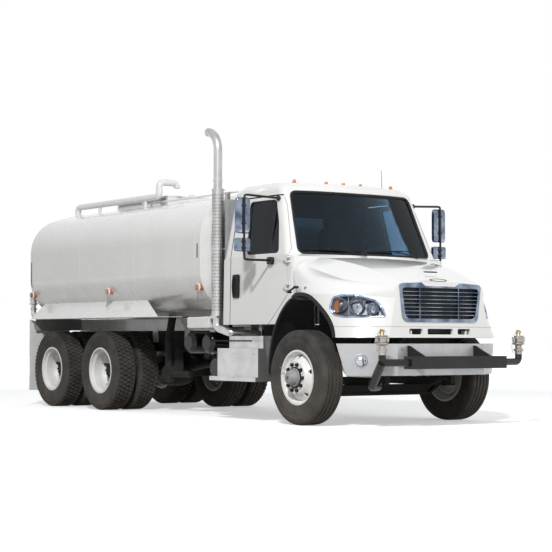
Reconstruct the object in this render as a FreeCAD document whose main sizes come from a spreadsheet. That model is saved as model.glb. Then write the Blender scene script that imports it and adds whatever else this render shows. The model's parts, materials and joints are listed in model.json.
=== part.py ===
"""Tanker truck: a three-axle water truck, modelled in millimetres.

Frame: +X is the truck's left side, -Y its front, +Z up, ground at z = 0.
Stations along the truck are measured from the front axle, rearwards, and each
sub-part's own Placement moves it into the part's frame, whose origin lies on
the ground under the middle of the truck.
"""
import FreeCAD, Part
import math
import os

import Sketcher

Vector = FreeCAD.Vector
X_AXIS = Vector(1, 0, 0)
Y_AXIS = Vector(0, 1, 0)
Z_AXIS = Vector(0, 0, 1)

# ---------------------------------------------------------------- sizes
# name, value in millimetres (or degrees, or a count)
SIZES = [
    # running gear
    ("first_axle", 4390), ("tandem_spacing", 1372), ("front_reach", 1320),
    ("tyre_radius", 513), ("tyre_width", 280), ("rim_radius", 298), ("rim_half", 122),
    ("track_half", 1040), ("dual_spacing", 337), ("disc_offset", 146), ("disc_gauge", 12),
    ("kingpin_half", 930), ("kingpin_radius", 24), ("spindle_radius", 44), ("fit_gap", 0.3),
    ("swing_gap", 6),
    # frame
    ("rail_half", 432), ("rail_depth", 270), ("rail_top", 1030), ("rail_flange", 88),
    ("rail_gauge", 10), ("rail_front", -760), ("rail_rear", 6330),
    # tank
    ("tank_front", 1900), ("tank_length", 4460), ("tank_half", 1200), ("tank_bottom", 1180),
    ("tank_top", 2720), ("tank_corner", 500), ("tank_crown", 120), ("tank_belly", 70), ("head_ring", 115),
    ("head_dish", 112), ("drain_x", 620), ("drain_z", 1450), ("drain_radius", 38),
    ("cradle_half", 455), ("cradle_gauge", 16),
    ("tray_edge", 1430), ("tray_lip", 1200), ("tray_half", 1222), ("tray_gauge", 8),
    ("rear_bar_reach", 240), ("pipe_radius", 43), ("fill_pipe_x", 570), ("fill_pipe_z", 2778),
    ("manhole_half", 350), ("manhole_front", 4050), ("manhole_length", 1350),
    ("coaming_top", 2800), ("lid_gauge", 14),
    # cab
    ("cab_floor", 1090), ("cab_belt", 1850), ("cab_roof", 2605), ("cab_crown", 2712),
    ("cab_half", 1080), ("belt_half", 1070), ("roof_half", 942), ("cab_rear", 1620),
    ("cab_wall", 45), ("screen_rake", 300), ("screen_base", 150), ("screen_bow", 130),
    ("glass_gauge", 6), ("glass_inset", 14),
    ("door_hinge_x", 1100), ("door_hinge_y", 300), ("door_pin", 6),
    # hood and front
    ("hood_front", 1000), ("hood_wall", 30), ("hood_lower", 943),
    ("grille_half", 566), ("grille_foot_half", 528), ("grille_top", 1505), ("grille_foot", 1110),
    ("grille_bars", 7), ("grille_depth", 46), ("grille_frame", 34),
    ("bumper_top", 880), ("bumper_foot", 545), ("bumper_front", 1020), ("bumper_gauge", 12),
    ("spray_box_half", 660), ("spray_box_side", 130), ("spray_box_z", 685),
    ("head_x", 950),
    # exhaust and side gear
    ("stack_x", 1050), ("stack_y", 1752), ("stack_radius", 51), ("guard_radius", 68),
    ("guard_foot", 1197), ("guard_top", 2686), ("stack_top", 3180), ("stack_bend", 230),
    ("step_front", 664), ("step_rear", 1490), ("step_out", 1215), ("step_in", 640),
    ("air_radius", 129), ("air_low_radius", 155),
]


class Size:
    """A number from the sheet together with the formula that gives it."""

    def __init__(self, number, formula):
        self.number = float(number)
        self.formula = formula

    def __add__(self, other):
        other = size(other)
        return Size(self.number + other.number, f"({self.formula} + {other.formula})")

    def __sub__(self, other):
        other = size(other)
        return Size(self.number - other.number, f"({self.formula} - {other.formula})")

    def __mul__(self, other):
        other = size(other)
        return Size(self.number * other.number, f"{self.formula} * {other.formula}")

    def __truediv__(self, other):
        other = size(other)
        return Size(self.number / other.number, f"{self.formula} / {other.formula}")

    def __radd__(self, other):
        return size(other) + self

    def __rsub__(self, other):
        return size(other) - self

    def __rmul__(self, other):
        return size(other) * self

    def __neg__(self):
        return Size(-self.number, f"(0 - {self.formula})")

    def __float__(self):
        return self.number


def size(value):
    """A Size as it is, or a plain number turned into one."""
    if isinstance(value, Size):
        return value
    text = f"{value:.6g}"
    return Size(value, text if value >= 0 else f"({text})")


doc = FreeCAD.newDocument("tanker_truck")
sheet = doc.addObject("Spreadsheet::Sheet", "Sizes")
for row, (alias, number) in enumerate(SIZES, start=1):
    sheet.set(f"A{row}", alias)
    sheet.set(f"B{row}", str(number))
    sheet.setAlias(f"B{row}", alias)
doc.recompute()


class SheetSizes:
    """The driving sizes by name."""

    def __init__(self, rows):
        for alias, number in rows:
            setattr(self, alias, Size(number, f"Sizes.{alias}"))


s = SheetSizes(SIZES)
TANK_REAR = s.tank_front + s.tank_length
REAR_REACH = TANK_REAR + s.rear_bar_reach
MIDDLE = (REAR_REACH - s.front_reach) / 2
AXLE_Z = s.tyre_radius
SIDES = (("right", -1), ("left", 1))
subparts = []


# ---------------------------------------------------------------- modelling helpers
def vector(x, y, z):
    return Vector(float(x), float(y), float(z))


def bind(obj, path, value):
    """Tie one property of an object to a size."""
    obj.setExpression(path, size(value).formula)


def put(obj, x, y, z, rotation=None):
    """Place an object at a bound position."""
    obj.Placement = FreeCAD.Placement(vector(x, y, z), rotation or FreeCAD.Rotation())
    for path, value in (("x", x), ("y", y), ("z", z)):
        bind(obj, f"Placement.Base.{path}", value)
    return obj


def subpart(obj, label):
    """Name a finished sub-part and move it into the part's frame."""
    obj.Label = label
    put(obj, 0, -MIDDLE, 0)
    subparts.append(obj)
    return obj


def block(x_span, y_span, z_span):
    """A box between two values on each axis."""
    obj = doc.addObject("Part::Box", "block")
    for path, span in (("Length", x_span), ("Width", y_span), ("Height", z_span)):
        bind(obj, path, size(span[1]) - span[0])
    return put(obj, x_span[0], y_span[0], z_span[0])


TURNS = {"X": FreeCAD.Rotation(Y_AXIS, 90), "Y": FreeCAD.Rotation(X_AXIS, -90),
         "Z": FreeCAD.Rotation()}


def rod(axis, start, radius, length):
    """A cylinder from a point along +X, +Y or +Z."""
    obj = doc.addObject("Part::Cylinder", "rod")
    bind(obj, "Radius", radius)
    bind(obj, "Height", length)
    return put(obj, *start, rotation=TURNS[axis])


def cone(axis, start, radius, end_radius, length):
    """A tapered rod from a point along +X, +Y or +Z."""
    obj = doc.addObject("Part::Cone", "taper")
    bind(obj, "Radius1", radius)
    bind(obj, "Radius2", end_radius)
    bind(obj, "Height", length)
    return put(obj, *start, rotation=TURNS[axis])


def joined(kind, name, links):
    obj = doc.addObject(kind, name)
    setattr(obj, "Links" if kind == "Part::Compound" else "Shapes", links)
    return obj


def fused(*shapes):
    return joined("Part::MultiFuse", "fused", list(shapes))


def group(*shapes):
    """Like solids that share a node and don't touch."""
    return joined("Part::Compound", "group", list(shapes))


def cut(base, *tools):
    obj = doc.addObject("Part::Cut", "cut")
    obj.Base = base
    obj.Tool = tools[0] if len(tools) == 1 else fused(*tools)
    return obj


def mirrored(source):
    """The same piece on the other side of the truck."""
    obj = doc.addObject("Part::Mirroring", "mirrored")
    obj.Source = source
    obj.Normal = X_AXIS
    return obj


def both_sides(*shapes):
    return group(*shapes, *[mirrored(shape) for shape in shapes])


def on_side(obj, sign):
    """A piece modelled on the left, or its mirror image for the right."""
    return obj if sign > 0 else mirrored(obj)


def shaped(name, shape):
    """A free-form piece whose shape is computed from the sizes."""
    obj = doc.addObject("Part::Feature", name)
    obj.Shape = shape
    return obj


PLANE_SIGN = {"XY_Plane": 1, "XZ_Plane": -1, "YZ_Plane": 1}


def outline_sketch(body, plane, points, offset):
    """A closed outline on an origin plane, each corner bound to its sizes."""
    sketch = body.newObject("Sketcher::SketchObject", "outline")
    support = [face for face in body.Origin.OriginFeatures if face.Role == plane][0]
    sketch.AttachmentSupport = [(support, "")]
    sketch.MapMode = "FlatFace"
    bind(sketch, "AttachmentOffset.Base.z", offset)
    corners = [Vector(float(a), float(b), 0) for a, b in points]
    count = len(corners)
    sketch.addGeometry([Part.LineSegment(corners[i], corners[(i + 1) % count])
                        for i in range(count)])
    sketch.addConstraint([Sketcher.Constraint("Coincident", i, 2, (i + 1) % count, 1)
                          for i in range(count)])
    for i, pair in enumerate(points):
        for kind, value in zip(("DistanceX", "DistanceY"), pair):
            number = sketch.addConstraint(Sketcher.Constraint(kind, -1, 1, i, 1, float(value)))
            bind(sketch, f"Constraints[{number}]", value)
    return sketch


def prism(plane, points, low, high):
    """A body padded from an outline: XY (x, y), XZ (x, z) or YZ (y, z)."""
    body = doc.addObject("PartDesign::Body", "prism")
    start = low if PLANE_SIGN[plane] > 0 else -size(high)
    sketch = outline_sketch(body, plane, points, start)
    pad = body.newObject("PartDesign::Pad", "pad")
    pad.Profile = sketch
    bind(pad, "Length", size(high) - low)
    return body


def turned(points, x, y, z):
    """A body revolved about a lateral axis; points are (x along it, radius)."""
    body = doc.addObject("PartDesign::Body", "turned")
    sketch = outline_sketch(body, "XY_Plane", points, 0)
    turn = body.newObject("PartDesign::Revolution", "turn")
    turn.Profile = sketch
    turn.ReferenceAxis = (sketch, ["H_Axis"])
    turn.Angle = 360
    return put(body, x, y, z)


def extruded(points, plane, low, high):
    """An outline of plain points pushed between two values, as a bare shape."""
    low, high = float(low), float(high)
    places = {"YZ": lambda a, b: Vector(low, a, b), "XZ": lambda a, b: Vector(a, low, b),
              "XY": lambda a, b: Vector(a, b, low)}
    along = {"YZ": X_AXIS, "XZ": Y_AXIS, "XY": Z_AXIS}[plane]
    corners = [places[plane](float(a), float(b)) for a, b in points]
    wire = Part.makePolygon(corners + corners[:1])
    return Part.Face(wire).extrude(along * (high - low))


def tube(points, radius, bend):
    """A round bar along straight runs joined by tangent arcs."""
    path = [vector(*point) for point in points]
    edges = []
    start = path[0]
    for before, corner, after in zip(path, path[1:], path[2:]):
        back = (before - corner).normalize()
        ahead = (after - corner).normalize()
        half = back.getAngle(ahead) / 2
        reach = float(bend) / math.tan(half)
        first = corner + back * reach
        last = corner + ahead * reach
        centre = corner + (back + ahead).normalize() * (float(bend) / math.sin(half))
        middle = centre + (corner - centre).normalize() * float(bend)
        edges.append(Part.LineSegment(start, first).toShape())
        edges.append(Part.Arc(first, middle, last).toShape())
        start = last
    edges.append(Part.LineSegment(start, path[-1]).toShape())
    circle = Part.makeCircle(float(radius), path[0], path[1] - path[0])
    return Part.Wire(edges).makePipeShell([Part.Wire([circle])], True, False)


# ---------------------------------------------------------------- frame and axles
def frame_rails():
    inner = s.rail_half - s.rail_flange
    web = s.rail_half - s.rail_gauge
    foot = s.rail_top - s.rail_depth
    channel = [(inner, foot), (s.rail_half, foot), (s.rail_half, s.rail_top),
               (inner, s.rail_top), (inner, s.rail_top - s.rail_gauge),
               (web, s.rail_top - s.rail_gauge), (web, foot + s.rail_gauge),
               (inner, foot + s.rail_gauge)]
    rail = prism("XZ_Plane", channel, s.rail_front, s.rail_rear)
    subpart(both_sides(rail), "frame_rails")


CROSSMEMBERS = [-700, 1500, 2650, 3650, 5076, 6280]


def crossmembers():
    """Channels between the rail webs, and the four mounts that carry the cab."""
    inside = s.rail_half - s.rail_gauge
    foot = s.rail_top - s.rail_depth + 40
    members = []
    for station in CROSSMEMBERS:
        channel = [(station - 35, foot), (station + 35, foot), (station + 35, foot + 12),
                   (station - 23, foot + 12), (station - 23, s.rail_top - 52),
                   (station + 35, s.rail_top - 52), (station + 35, s.rail_top - 40),
                   (station - 35, s.rail_top - 40)]
        members.append(prism("YZ_Plane", channel, -inside, inside))
    mounts = [block((s.rail_half - 80, s.rail_half), (y, y + 110), (s.rail_top, s.cab_floor))
              for y in (360, 1440)]
    subpart(group(*members, both_sides(*mounts)), "crossmembers")


def hood_hinges():
    """Two posts on the rail ends, each with the pin that the hood tilts on."""
    web = s.rail_half - s.rail_gauge
    post = prism("YZ_Plane", [(s.rail_front + 20, 790), (s.rail_front + 20, 960),
                              (-900, HINGE_Z + 16), (HINGE_Y - 20, HINGE_Z + 16),
                              (HINGE_Y - 20, HINGE_Z - 14), (-850, 900)], web - 20, web)
    pin = rod("X", (web - 56, HINGE_Y, HINGE_Z), HINGE_PIN, 92)
    subpart(both_sides(fused(post, pin)), "hood_hinges")


HINGE_Y = size(-940)
HINGE_Z = size(965)
HINGE_PIN = size(10)
SPRING_X = 425


def front_axle():
    """A dropped I-beam with spring seats and an eye for each kingpin."""
    drop = AXLE_Z - 150
    eye = AXLE_Z
    half = [(0, drop - 60), (s.kingpin_half - 260, drop - 60), (s.kingpin_half - 60, eye - 62),
            (s.kingpin_half, eye - 62), (s.kingpin_half, eye + 62),
            (s.kingpin_half - 90, eye + 62), (s.kingpin_half - 290, drop + 60), (0, drop + 60)]
    beam = prism("XZ_Plane", half, -55, 55)
    groove = [(0, drop - 36), (s.kingpin_half - 275, drop - 36),
              (s.kingpin_half - 120, eye - 60), (s.kingpin_half - 150, eye + 10),
              (s.kingpin_half - 285, drop + 36), (0, drop + 36)]
    side_cuts = [prism("XZ_Plane", groove, low, high) for low, high in ((-60, -12), (12, 60))]
    boss = rod("Z", (s.kingpin_half, 0, eye - 62), 52, 124)
    bore = rod("Z", (s.kingpin_half, 0, eye - 70), s.kingpin_radius + s.fit_gap, 140)
    half_axle = cut(fused(cut(beam, *side_cuts), boss), bore)
    subpart(fused(half_axle, mirrored(half_axle)), "front_axle")


def leaf_pack(y, seat, half_length, leaves, gauge):
    """A stack of leaves under a rail, longest on top, with its two hangers."""
    stack = []
    for leaf in range(leaves):
        reach = half_length * (1 - 0.13 * leaf)
        top = seat + gauge * (leaves - leaf)
        stack.append(block((SPRING_X - 45, SPRING_X + 45), (y - reach, y + reach),
                           (top - gauge, top)))
    top = seat + gauge * leaves
    hanger_foot = top - 70
    for sign in (-1, 1):
        at = y + sign * half_length
        stack.append(prism("YZ_Plane", [(at - 38, hanger_foot), (at + 38, hanger_foot),
                                        (at + 70, s.rail_top - 40), (at - 70, s.rail_top - 40)],
                           s.rail_half, s.rail_half + 52))
    return fused(*stack)


def suspension():
    """Front leaf packs, and rear packs that rest on both drive axles."""
    tandem = s.first_axle + s.tandem_spacing / 2
    front = leaf_pack(size(0), AXLE_Z - 90, 640, 4, 22)
    beam = prism("YZ_Plane", [(tandem - s.tandem_spacing / 2 - 130, AXLE_Z + 92),
                              (tandem + s.tandem_spacing / 2 + 130, AXLE_Z + 92),
                              (tandem + s.tandem_spacing / 2 + 130, AXLE_Z + 132),
                              (tandem + 260, AXLE_Z + 178), (tandem - 260, AXLE_Z + 178),
                              (tandem - s.tandem_spacing / 2 - 130, AXLE_Z + 132)],
                 SPRING_X - 45, SPRING_X + 45)
    saddle = prism("YZ_Plane", [(tandem - 120, AXLE_Z + 60), (tandem + 120, AXLE_Z + 60),
                                (tandem + 210, s.rail_top - 30), (tandem - 210, s.rail_top - 30)],
                   s.rail_half, s.rail_half + 60)
    subpart(both_sides(front, fused(beam, saddle)), "suspension")


def drive_axles():
    """Two housings with their bowls and spindles, and the shafts that turn them."""
    tandem = [s.first_axle, s.first_axle + s.tandem_spacing]
    tube_end = s.track_half - s.dual_spacing - 80
    spindle_end = s.track_half - s.dual_spacing / 2 + 60
    pieces = []
    for station in tandem:
        casing = [(-tube_end, 92), (-230, 92), (-170, 190), (-60, 215), (60, 215), (170, 190),
                  (230, 92), (tube_end, 92), (tube_end, s.spindle_radius),
                  (spindle_end, s.spindle_radius), (spindle_end, 0),
                  (-spindle_end, 0), (-spindle_end, s.spindle_radius),
                  (-tube_end, s.spindle_radius)]
        casing_body = turned(casing, 0, station, AXLE_Z)
        nose = cone("Y", (0, station - 400, AXLE_Z + 30), 70, 120, 330)
        pieces += [casing_body, nose]
    shaft_start = s.first_axle - 400 - 1650
    pieces.append(shaped("shaft", tube([(0, shaft_start, AXLE_Z + 260),
                                        (0, s.first_axle - 380, AXLE_Z + 32)], 50, 10)))
    pieces.append(shaped("shaft", tube([(0, s.first_axle + 150, AXLE_Z + 30),
                                        (0, tandem[1] - 380, AXLE_Z + 30)], 45, 10)))
    subpart(fused(*pieces), "drive_axles")


def engine():
    """The engine and gearbox as plain blocks, and the radiator behind the grille."""
    block_part = prism("YZ_Plane", [(-620, 640), (90, 640), (90, 1420), (-620, 1420)], -300, 300)
    web = s.rail_half - s.rail_gauge
    feet = [block((-web, web), (y, y + 90), (860, 910)) for y in (-420, -60)]
    gearbox = cone("Y", (0, 90, 840), 215, 110, 980)
    seat = s.rail_top - 40
    radiator = block((-400, 400), (s.rail_front - 80, s.rail_front), (seat, 1480))
    shroud = rod("Y", (0, s.rail_front - 2, 1235), 230, 62)
    subpart(group(fused(block_part, gearbox, *feet), fused(radiator, shroud)), "engine")


# ---------------------------------------------------------------- wheels
def tyre_profile(centre):
    """Section of one tyre: bead, sidewalls and a nearly flat tread."""
    half = s.tyre_width / 2
    bead = s.rim_radius - 12
    top = s.tyre_radius
    return [(centre - s.rim_half + 12, bead), (centre + s.rim_half - 12, bead),
            (centre + half - 22, bead + 34), (centre + half - 4, bead + 80),
            (centre + half, bead + 125), (centre + half - 8, bead + 175),
            (centre + half - 22, top - 12), (centre + half - 36, top - 3), (centre, top),
            (centre - half + 36, top - 3), (centre - half + 22, top - 12),
            (centre - half + 8, bead + 175), (centre - half, bead + 125),
            (centre - half + 4, bead + 80), (centre - half + 22, bead + 34)]


def barrel_profile():
    """Section of a rim's barrel: flanges, bead seats and a drop centre."""
    half = s.rim_half
    lip = s.rim_radius
    return [(-half, lip), (-half + 8, lip), (-half + 12, lip - 13), (-half + 40, lip - 17),
            (-half + 58, lip - 38), (half - 58, lip - 38), (half - 40, lip - 17),
            (half - 12, lip - 13), (half - 8, lip), (half, lip), (half, lip - 20),
            (half - 36, lip - 27), (half - 52, lip - 48), (-half + 52, lip - 48),
            (-half + 36, lip - 27), (-half, lip - 20)]


def disc_profile(face):
    """Section of a wheel disc, from the barrel out to its flat mounting face."""
    lip = s.rim_radius
    gauge = s.disc_gauge
    return [(28, lip - 44), (52, lip - 44), (face - 36, lip - 92), (face - 10, lip - 112),
            (face, lip - 124), (face, 100), (face - gauge, 100), (face - gauge, lip - 128),
            (face - 22, lip - 118), (face - 48, lip - 100), (40, lip - 56), (28, lip - 56)]


def hand_holes(rim, radius, hole, x, length):
    """Five hand holes through the disc, evenly spaced."""
    holes = []
    for turn in range(5):
        angle = math.radians(90 + 72 * turn)
        holes.append(rod("X", (x, radius * math.cos(angle), radius * math.sin(angle)),
                         hole, length))
    return cut(rim, *holes)


def front_wheels():
    """A steered wheel: tyre and disc wheel turn together on the knuckle's spindle."""
    for side, sign in SIDES:
        bore = s.spindle_radius + s.fit_gap
        face = s.disc_offset
        flange = face - s.disc_gauge
        disc = hand_holes(turned(disc_profile(face), 0, 0, 0), 224, 24, 30, 120)
        hub = turned([(-70, 208), (-70, 196), (-12, 196), (-12, bore), (150, bore), (150, 0),
                      (face + 92, 0), (face + 92, 60), (face + 80, 70), (face + 26, 80),
                      (face + 26, 96), (face + 6, 103), (flange + 4, 103), (flange + 4, 168),
                      (flange - 14, 168), (flange - 14, 108), (0, 96), (0, 208)], 0, 0, 0)
        wheel = put(fused(turned(barrel_profile(), 0, 0, 0), disc, hub),
                    s.track_half, 0, AXLE_Z)
        subpart(on_side(group(wheel), sign), f"front_rim_{side}")
        tyre = turned(tyre_profile(0), s.track_half, 0, AXLE_Z)
        subpart(on_side(group(tyre), sign), f"front_tyre_{side}")


def knuckles():
    """Steering knuckles: kingpin, yoke, spindle, backing plate and steering arm."""
    for side, sign in SIDES:
        x = s.kingpin_half
        pin = rod("Z", (x, 0, AXLE_Z - 118), s.kingpin_radius, 236)
        upper = block((x - 46, x + 70), (-46, 46), (AXLE_Z + 70, AXLE_Z + 112))
        lower = block((x - 46, x + 70), (-46, 46), (AXLE_Z - 112, AXLE_Z - 70))
        web = block((x + 58, x + 84), (-70, 70), (AXLE_Z - 112, AXLE_Z + 112))
        spindle = rod("X", (x + 80, 0, AXLE_Z), s.spindle_radius, 170)
        arm = prism("XY_Plane", [(x - 10, 40), (x + 30, 40), (x - 30, 265), (x - 70, 265)],
                    AXLE_Z - 110, AXLE_Z - 84)
        knuckle = fused(pin, upper, lower, web, spindle, arm)
        subpart(on_side(group(knuckle), sign), f"knuckle_{side}")


def rear_wheels():
    """Dual wheels: two tyres and two disc wheels bolted together on one hub."""
    tandem = {"front": s.first_axle, "rear": s.first_axle + s.tandem_spacing}
    pair = s.dual_spacing
    face = pair / 2
    bore = s.spindle_radius + s.fit_gap
    for axle, station in tandem.items():
        for side, sign in SIDES:
            disc = hand_holes(turned(disc_profile(face), 0, 0, 0), 224, 24, 30, 140)
            single = fused(turned(barrel_profile(), 0, 0, 0), disc)
            inner = put(group(single), -pair, 0, 0)
            outer = mirrored(single)
            hub = turned([(-face - 200, 205), (-face - 200, 192), (-face - 60, 192),
                          (-face - 60, bore), (-face + 66, bore), (-face + 66, 0),
                          (-face + 150, 0), (-face + 150, 88), (-face + 138, 98),
                          (-face + 12, 103), (-face - 8, 103), (-face - 8, 168),
                          (-face - 26, 168), (-face - 26, 112), (-face - 46, 112),
                          (-face - 46, 205)], 0, 0, 0)
            wheel = put(fused(inner, outer, hub), s.track_half, station, AXLE_Z)
            subpart(on_side(group(wheel), sign), f"{axle}_dual_rims_{side}")
            tyres = [turned(tyre_profile(0), s.track_half - shift, station, AXLE_Z)
                     for shift in (0, pair)]
            subpart(on_side(group(*tyres), sign), f"{axle}_dual_tyres_{side}")


# ---------------------------------------------------------------- cab
# height, half width, front at the middle, bow of the front, pillar radius, rear wall
def cab_levels():
    base = s.screen_base
    top = base + s.screen_rake
    roof = s.cab_roof
    crown = s.cab_crown
    half = s.roof_half
    return [(s.cab_floor, s.cab_half, base, 42, 56, s.cab_rear),
            (s.cab_belt - 14, s.belt_half, base, 42, 56, s.cab_rear),
            (s.cab_belt + 14, s.belt_half, base + 8, s.screen_bow, 100, s.cab_rear),
            (roof, half, top, s.screen_bow, 100, s.cab_rear - 40),
            (crown - 72, half - 22, top + 30, s.screen_bow, 110, s.cab_rear - 62),
            (crown - 24, half - 76, top + 90, s.screen_bow, 120, s.cab_rear - 110),
            (crown, half - 200, top + 240, s.screen_bow - 20, 130, s.cab_rear - 250)]


def cab_section(level, inset):
    """Plan section: bowed screen, rounded pillars, flat sides and back."""
    height, half, front, bow, pillar, rear = [float(value) for value in level]
    half -= inset
    front += inset
    rear -= inset

    def corner(sign, edge, turn):
        return [Vector(sign * (half - pillar), edge, height),
                Vector(sign * (half - 0.28 * pillar), edge + turn * 0.3 * pillar, height),
                Vector(sign * half, edge + turn * 1.1 * pillar, height)]

    def arc(points):
        return Part.Arc(*points).toShape()

    def line(start, end):
        return Part.LineSegment(start, end).toShape()

    left_front = corner(1, front + bow, 1)
    right_front = corner(-1, front + bow, 1)
    left_rear = corner(1, rear, -1)
    right_rear = corner(-1, rear, -1)
    return Part.Wire([arc((right_front[0], Vector(0, front, height), left_front[0])),
                      arc(left_front), line(left_front[2], left_rear[2]),
                      arc(left_rear[::-1]), line(left_rear[0], right_rear[0]), arc(right_rear),
                      line(right_rear[2], right_front[2]), arc(right_front[::-1])])


def cab_envelope(inset):
    """The cab's outer form, or the same form moved inwards."""
    levels = cab_levels()
    wires = []
    for index, level in enumerate(levels):
        height = float(level[0])
        if index == 0:
            height += inset
        elif index > 3:
            height -= inset
        wires.append(cab_section((height,) + level[1:], inset))
    return Part.makeLoft(wires, True, True)


def door_outline():
    """Side view of the right or left door, from the lower front corner up."""
    rear = 1437
    return [(283, 1432), (330, 1970), (400, 2190), (590, 2540), (rear, 2540),
            (rear, s.cab_floor), (665, s.cab_floor)]


def door_zone(sign, gap):
    """The side wall's own depth: a front view that leans with the wall."""
    depth = float(s.cab_wall) + 4 + gap
    inner = [(float(s.cab_half) - depth, float(s.cab_floor) - 20),
             (float(s.belt_half) - depth, float(s.cab_belt)),
             (float(s.roof_half) - depth, float(s.cab_roof))]
    outline = inner + [(1200, float(s.cab_roof)), (1200, float(s.cab_floor) - 20)]
    return extruded([(sign * x, z) for x, z in outline], "XZ", 0, 1700)


def window_outline():
    return rounded([(482, 1880), (560, 2230), (672, 2490), (1190, 2490), (1110, 1880)], 50)


def grown(points, gap):
    """The outline with every side moved outwards by a gap."""
    corners = [Vector(float(a), float(b), 0) for a, b in points]
    pairs = list(zip(corners, corners[1:] + corners[:1]))
    area = sum(start.x * end.y - end.x * start.y for start, end in pairs)
    turn = 1 if area > 0 else -1
    sides = []
    for start, end in pairs:
        along = (end - start).normalize()
        outward = Vector(along.y, -along.x, 0) * turn
        sides.append((start + outward * gap, along))
    moved = []
    for (start, along), (other, across) in zip(sides[-1:] + sides[:-1], sides):
        scale = along.x * across.y - along.y * across.x
        step = ((other.x - start.x) * across.y - (other.y - start.y) * across.x) / scale
        moved.append((start.x + along.x * step, start.y + along.y * step))
    return moved


def side_prism(points, gap, low, high):
    """A side-view outline, grown by a gap, pushed across the truck."""
    return extruded(grown(points, gap), "YZ", low, high)


def front_prism(points, gap, low, high):
    """A front-view outline, grown by a gap, pushed along the truck."""
    return extruded(grown(points, gap), "XZ", low, high)


def screen_outline():
    return rounded([(-945, 1862), (-856, 2582), (856, 2582), (945, 1862)], 75)


def rear_window_outline():
    return rounded([(-640, 1960), (-640, 2400), (640, 2400), (640, 1960)], 70)


def smooth_run(points, count):
    """Points evenly spread along a smooth curve through a few given ones."""
    curve = Part.BSplineCurve()
    curve.interpolate([Vector(float(a), float(b), 0) for a, b in points])
    return [(point.x, point.y) for point in curve.discretize(count)]


def rounded(points, radius):
    """The outline with every corner turned into a short curve."""
    corners = [Vector(float(a), float(b), 0) for a, b in points]
    eased = []
    for before, corner, after in zip(corners[-1:] + corners[:-1], corners,
                                     corners[1:] + corners[:1]):
        start = corner + (before - corner).normalize() * radius
        end = corner + (after - corner).normalize() * radius
        for step in (0, 0.17, 0.38, 0.62, 0.83, 1):
            point = start * (1 - step) ** 2 + corner * 2 * step * (1 - step) + end * step ** 2
            eased.append((point.x, point.y))
    return eased


ARCH = smooth_run([(640, 540), (612, 800), (548, 1010), (412, 1217), (193, 1380), (-38, 1415),
                   (-240, 1378), (-392, 1254), (-516, 1082), (-575, 930)], 30)


def arch_tool(low, high, gap=0):
    """The wheel arch: a side-view outline cut through from outside."""
    outline = [(640, 300)] + ARCH + [(-575, 300)]
    return side_prism(outline, gap, low, high)


def wheelhouse(low, high, gauge):
    """Liner that follows the arch, closed on its inner side above the tyre."""
    band = arch_tool(low, high).cut(arch_tool(low - 10, high + 10, -gauge))
    wall = arch_tool(low, low + gauge).common(
        Part.makeBox(gauge, 1400, 500, Vector(low, -700, 1060)))
    return band.fuse(wall)


def cab():
    wall = float(s.cab_wall)
    outer = cab_envelope(0)
    inner = cab_envelope(wall)
    shell = outer.cut(inner)
    gap = float(s.swing_gap)
    door_depth = float(s.cab_half) + 60
    openings = [side_prism(door_outline(), gap, *sorted((sign * 800, sign * door_depth)))
                .common(door_zone(sign, gap)) for side, sign in SIDES]
    openings.append(front_prism(screen_outline(), 0, -100, 900))
    openings.append(front_prism(rear_window_outline(), 0, 1300, 1800))
    arch_depth = 1300
    for low, high in ((-arch_depth, -760), (760, arch_depth)):
        openings.append(arch_tool(low, high))
    body = shell
    for tool in openings:
        body = body.cut(tool)
    reach = Part.makeBox(400, 460, 900, Vector(740, 216, 540))
    house = wheelhouse(762, 1068, 10).common(reach)
    for tool in openings[:2]:
        house = house.cut(tool)
    body = body.fuse([house, house.mirror(Vector(0, 0, 0), X_AXIS)])
    ears, lugs = door_hinges()
    body = body.fuse(ears)
    subpart(shaped("cab", biggest(body)), "cab_shell")
    pane = cab_envelope(float(s.glass_inset)).cut(
        cab_envelope(float(s.glass_inset + s.glass_gauge)))
    screen = pane.common(front_prism(screen_outline(), -0.3, -100, 700))
    screen = screen.cut(openings[0]).cut(openings[1])
    back = pane.common(front_prism(rear_window_outline(), -0.3, 1300, 1800))
    subpart(shaped("glass", Part.makeCompound([biggest(screen), biggest(back)])), "cab_glass")
    for side, sign in SIDES:
        span = sorted((sign * 800, sign * door_depth))
        panel = shell.common(side_prism(door_outline(), 0, *span).common(door_zone(sign, 0)))
        panel = panel.cut(side_prism(window_outline(), 0, *span))
        panel = panel.cut(arch_tool(*span, gap))
        panel = panel.cut(door_bevel(sign))
        panel = fuse_handle(panel, sign).fuse(lugs[sign])
        subpart(shaped("door", biggest(panel)), f"door_{side}")
        glass = pane.common(side_prism(window_outline(), -0.3, *span))
        subpart(shaped("door_glass", biggest(glass)), f"door_glass_{side}")


def door_hinges():
    """Two hinges a side: ears and pin on the pillar, a bored lug on the door."""
    ears = []
    lugs = {-1: [], 1: []}
    out = float(s.door_hinge_x)
    station = float(s.door_hinge_y)
    for z in (1500, 1800):
        pieces = [Part.makeCylinder(float(s.door_pin), 68, Vector(out, station, z - 34))]
        for foot in (z - 34, z + 18):
            pieces.append(Part.makeBox(out - 1051, 24, 16, Vector(1060, station - 50, foot)))
            pieces.append(Part.makeBox(18, 59, 16, Vector(out - 9, station - 50, foot)))
        ear = pieces[0].fuse(pieces[1:])
        ears += [ear, ear.mirror(Vector(0, 0, 0), X_AXIS)]
        lug = Part.makeBox(out - 1051, 28, 24, Vector(1060, station + 24, z - 12))
        lug = lug.fuse(Part.makeBox(18, 61, 24, Vector(out - 9, station - 9, z - 12)))
        bore = Part.makeCylinder(float(s.door_pin + s.fit_gap), 40, Vector(out, station, z - 20))
        lug = lug.cut(bore)
        lugs[1].append(lug)
        lugs[-1].append(lug.mirror(Vector(0, 0, 0), X_AXIS))
    return ears, lugs


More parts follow.
